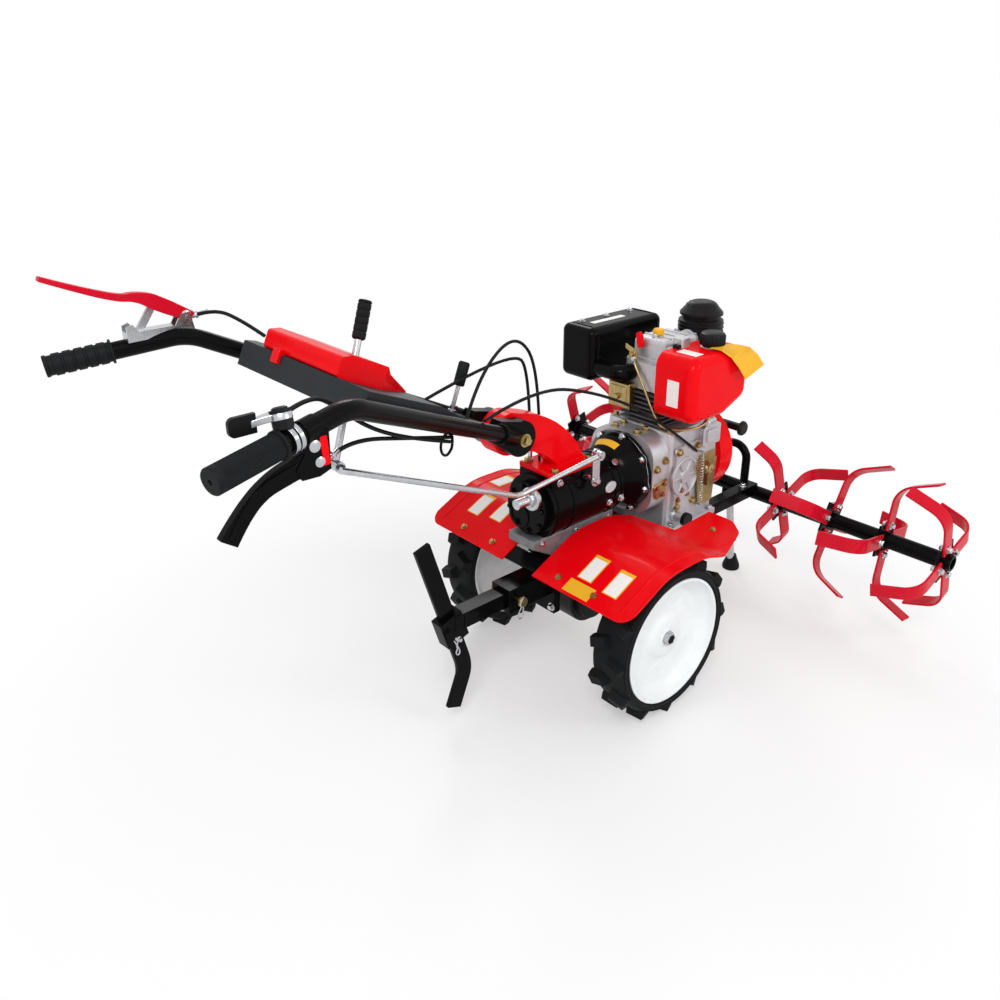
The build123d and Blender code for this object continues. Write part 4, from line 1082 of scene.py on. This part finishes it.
class TRACTOR_OT_hitch(bpy.types.Operator):
    """Fit the clips and pins of the hitch and the depth stake"""

    bl_idname = "tractor.hitch"
    bl_label = "Dress the hitch"

    def execute(self, context):
        wire = context.scene.tractor_sizes.wire
        make("hitch_clip", "zinc_plate", (tube, route(
            (-236, -51, 300), (-236, -51, 262), (-240, -52, 248), (-250, -53, 244), (-256, -53, 254),
            (-250, -53, 268), (-243, -53, 276), (-250, -53, 284), (-243, -53, 292)), wire))
        make("hitch_pin_head", "yellow_zinc",
             (lathe, ((0, 0), (13, 0), (13, 5), (10, 8), (0, 8)), seat(-236, -46, 284, RIGHT), 28),
             (lathe, ((0, 0), (10, 0), (10, 6), (0, 6)), seat(-236, 46, 284, LEFT), 28), bevel=0.5)
        make("stake_clip", "zinc_plate", (tube, route(
            (-432, -38, 262), (-420, -40, 240), (-418, -41, 226), (-426, -41, 222), (-430, -41, 232),
            (-424, -41, 240), (-428, -41, 248), (-424, -41, 256)), wire))
        welds = []
        for s in SIDES:
            welds.append((tube, [at(-385, s * 20.5, z) for z in (266, 278, 290, 302)], 2.2 * MM, 2))
            welds.append((tube, [at(-111, s * y, 316) for y in (8, 16, 24, 31)], 2.4 * MM, 2))
        make("socket_welds", "black_enamel", *welds)
        line = ((-480.7, 494.7), (-412, 270), (-395, 214.4), (-374, 146), (-390, 104), (-412.1, 51.4))
        make("stake_bar", "black_enamel", (bar, [at(x, 0, z) for x, z in line], (40, 40), 11, LEFT),
             bevel=1.2, body="depth_stake", replaces=("depth_stake",))
        make("stake_pin", "zinc_plate",
             (lathe, ((0, 0), (7, 0), (7, 5), (4, 6), (4, 12), (0, 12)), seat(-420, -36, 262, RIGHT), 20))
        return {"FINISHED"}


class TRACTOR_OT_front(bpy.types.Operator):
    """Add the welds, reel collars and foot pad at the nose"""

    bl_idname = "tractor.front"
    bl_label = "Dress the nose and reels"

    def execute(self, context):
        welds = []
        for s in SIDES:
            arc = [
                at(642 - 20 * math.cos(a), s * 72, BAR_Z + 20 * math.sin(a)) for a in (0.4, 0.8, 1.2, 1.57)]
            points = ring(at(BAR_X, s * 42, BAR_Z + 19), UP, 12.5, 12)
            welds += [(tube, arc, 2.6 * MM, 2), (tube, points + points[:1], 2.2 * MM, 2)]
        make("nose_welds", "black_enamel", *welds)
        make("stand_foot", "black_rubber",
             (lathe, ((0, 0.3), (25.5, 0.3), (26.5, 8), (24, 17), (16, 37), (13.5, 46), (0, 46)),
              seat(693, 0, 0, UP), 36), body="stand")
        for reel in REELS:
            collars = []
            for plate in PLATES:
                outward = facing(at(BAR_X, reel.side * (plate[0] - 6), BAR_Z), (0, reel.side, 0))
                collars.append((lathe, ((20, -5), (24.5, -5), (26, 0), (20, 0), (20, -5)), outward, 32))
                if plate != PLATES[-1]:
                    collars.append((lathe, ((20, 6), (26, 6), (24.5, 11), (20, 11), (20, 6)), outward, 32))
            make(f"reel_collars_{reel.name}", "black_enamel", *collars, bevel=0.5, body=reel.body)
        return {"FINISHED"}


HANDLE_CABLES = {
    "clutch_lever": ((-776.1, 298, 983.3), (-742, 270, 997), (-722, 205, 986), (-703, 150.3, 961)),
    "side_lever": ((-851.1, -306, 895), (-775, -232, 886), (-600, -172, 824), (-508.6, -154.2, 796.8)),
    "throttle_hand": (
        (-906, -298, 976), (-872, -286, 984), (-815, -252, 968), (-735, -228, 893), (-620, -188, 832),
        (-514, -153, 789)),
}
CONTROL_CABLES = {
    "clutch": ((-430, 45, 796), (-178, 45, 862), (-128, 45, 790), (-128, 45, 582.2)),
    "throttle": (
        (-398, -113.9, 789.5), (-235, -85, 814), (-60, -88, 768), (120, -112, 676), (300, -115.8, 536)),
    "loop": ((-392, -52, 776), (-330, -20, 850), (-190, 24, 905), (-112, 30, 800), (-112, 30, 582.4)),
}


class TRACTOR_OT_cables(bpy.types.Operator):
    """Lay the control cables in smooth lines from end to end"""

    bl_idname = "tractor.cables"
    bl_label = "Lay the cables"

    def execute(self, context):
        radius = context.scene.tractor_sizes.cable
        on_handlebar(
            "handle_cable_sheaths", "black_rubber",
            *((tube, route(*points), radius) for points in HANDLE_CABLES.values()),
            replaces=("handle_cables",))
        make("control_cable_sheaths", "black_rubber",
             *((tube, route(*points), radius) for points in CONTROL_CABLES.values()),
             replaces=("control_cables",),
             bends=("chassis", "handlebar", at(-170, 0, 700), at(-330, 0, 735)))
        return {"FINISHED"}


Lamp = namedtuple("Lamp", "name place size power")
LAMPS = (
    Lamp("key", (-2.6, -2.2, 3.6), 1.3, 80.0),
    Lamp("fill", (1.4, -3.4, 2.4), 1.3, 30.0),
    Lamp("rim", (1.8, 2.6, 3.0), 1.2, 34.0),
)
LAMP_AIM = Vector((0, 0, 0.5))
ROOM_LIGHT, SEEN_WHITE = 0.64, 1.0
FLOOR_GLOW = 0.4
SENSOR = 36.0
LENS_IN_SENSORS = 0.88377
LENS_SHIFT = (-0.0195, -0.0385)


def lay_floor(sizes):
    """Lays white paper that takes the shadow near the object and fades to plain white further out."""
    mesh = bpy.data.meshes.new("floor")
    half = sizes.floor_size / 2
    corners = [(-half, -half, 0), (half, -half, 0), (half, half, 0), (-half, half, 0)]
    mesh.from_pydata(corners, [], [(0, 1, 2, 3)])
    floor = bpy.data.objects.new("floor", mesh)
    bpy.context.scene.collection.objects.link(floor)
    tree, paper, place = start_material("white_paper", Roughness=0.95, Specular_IOR_Level=0.0)
    paper.inputs["Base Color"].default_value = linear("#F6F6F6")
    mesh.materials.append(finishes["white_paper"])
    far = add_node(tree, "ShaderNodeVectorMath", [(place, 0)], operation="LENGTH")
    fade = add_node(
        tree, "ShaderNodeMapRange", [(far.outputs["Value"], "Value")], interpolation_type="SMOOTHSTEP",
        From_Min=sizes.lit_radius * 0.5, From_Max=sizes.lit_radius, To_Min=FLOOR_GLOW)
    amount = add_node(
        tree, "ShaderNodeMath", [(fade.outputs["Result"], 0), (seen_rays(tree), 1)], operation="MULTIPLY")
    glow = add_node(tree, "ShaderNodeEmission")
    mix = add_node(tree, "ShaderNodeMixShader", [
        (amount.outputs["Value"], 0), (paper.outputs["BSDF"], 1), (glow.outputs["Emission"], 2)])
    tree.links.new(mix.outputs["Shader"], tree.nodes["Material Output"].inputs["Surface"])


class TRACTOR_OT_stage(bpy.types.Operator):
    """Set up the floor, the lights and the camera at the photograph's viewing angle"""

    bl_idname = "tractor.stage"
    bl_label = "Set the stage"

    def execute(self, context):
        sizes = context.scene.tractor_stage
        lay_floor(sizes)
        world = bpy.data.worlds.new("studio")
        context.scene.world = world
        world.use_nodes = True
        tree = world.node_tree
        back = tree.nodes["Background"]
        back.inputs["Color"].default_value = (1, 1, 1, 1)
        level = add_node(
            tree, "ShaderNodeMapRange", [(seen_rays(tree), "Value")], To_Min=ROOM_LIGHT, To_Max=SEEN_WHITE)
        tree.links.new(level.outputs["Result"], back.inputs["Strength"])
        for lamp in LAMPS:
            light = bpy.data.lights.new(lamp.name, "AREA")
            light.size = lamp.size
            light.energy = lamp.power
            holder = bpy.data.objects.new(lamp.name, light)
            holder.location = lamp.place
            holder.rotation_euler = (LAMP_AIM - Vector(lamp.place)).to_track_quat("-Z", "Y").to_euler()
            context.scene.collection.objects.link(holder)
        lens = bpy.data.cameras.new("camera")
        lens.sensor_width = SENSOR
        lens.lens = LENS_IN_SENSORS * SENSOR
        lens.shift_x, lens.shift_y = LENS_SHIFT
        camera = bpy.data.objects.new("camera", lens)
        camera.location = (AXLE_X - sizes.camera_back, -sizes.camera_right, sizes.camera_height)
        camera.rotation_euler = (math.pi / 2 - sizes.pitch, 0, sizes.heading - math.pi / 2)
        context.scene.collection.objects.link(camera)
        context.scene.camera = camera
        context.scene.view_settings.view_transform = "Standard"
        return {"FINISHED"}


OPERATORS = (
    TRACTOR_OT_finishes, TRACTOR_OT_bolts, TRACTOR_OT_engine, TRACTOR_OT_transmission, TRACTOR_OT_handle,
    TRACTOR_OT_wheels, TRACTOR_OT_fenders, TRACTOR_OT_hitch, TRACTOR_OT_front, TRACTOR_OT_cables,
    TRACTOR_OT_stage)


class TRACTOR_PT_sidebar(bpy.types.Panel):
    """Lists the steps that dress the tractor, with their sizes and colours"""

    bl_idname = "TRACTOR_PT_sidebar"
    bl_label = "Walk-behind tractor"
    bl_space_type = "VIEW_3D"
    bl_region_type = "UI"
    bl_category = "Tractor"

    def draw(self, context):
        for group in GROUPS:
            settings = getattr(context.scene, group)
            for key in settings.bl_rna.properties.keys():
                if key not in ("rna_type", "name"):
                    self.layout.prop(settings, key)
        for operator in OPERATORS:
            self.layout.operator(operator.bl_idname)


GROUPS = {
    "tractor_colours": TRACTOR_PG_colours,
    "tractor_sizes": TRACTOR_PG_sizes,
    "tractor_stage": TRACTOR_PG_stage,
}
CLASSES = (*GROUPS.values(), *OPERATORS, TRACTOR_PT_sidebar)


def register():
    for cls in CLASSES:
        bpy.utils.register_class(cls)
    for name, group in GROUPS.items():
        setattr(bpy.types.Scene, name, bpy.props.PointerProperty(type=group))


def unregister():
    for name in GROUPS:
        delattr(bpy.types.Scene, name)
    for cls in reversed(CLASSES):
        bpy.utils.unregister_class(cls)


def main():
    """Dresses the frame step by step."""
    register()
    bpy.ops.tractor.finishes()
    bpy.ops.tractor.bolts()
    bpy.ops.tractor.engine()
    bpy.ops.tractor.transmission()
    bpy.ops.tractor.handle()
    bpy.ops.tractor.wheels()
    bpy.ops.tractor.fenders()
    bpy.ops.tractor.hitch()
    bpy.ops.tractor.front()
    bpy.ops.tractor.cables()
    bpy.ops.tractor.stage()


if __name__ == "__main__":
    main()
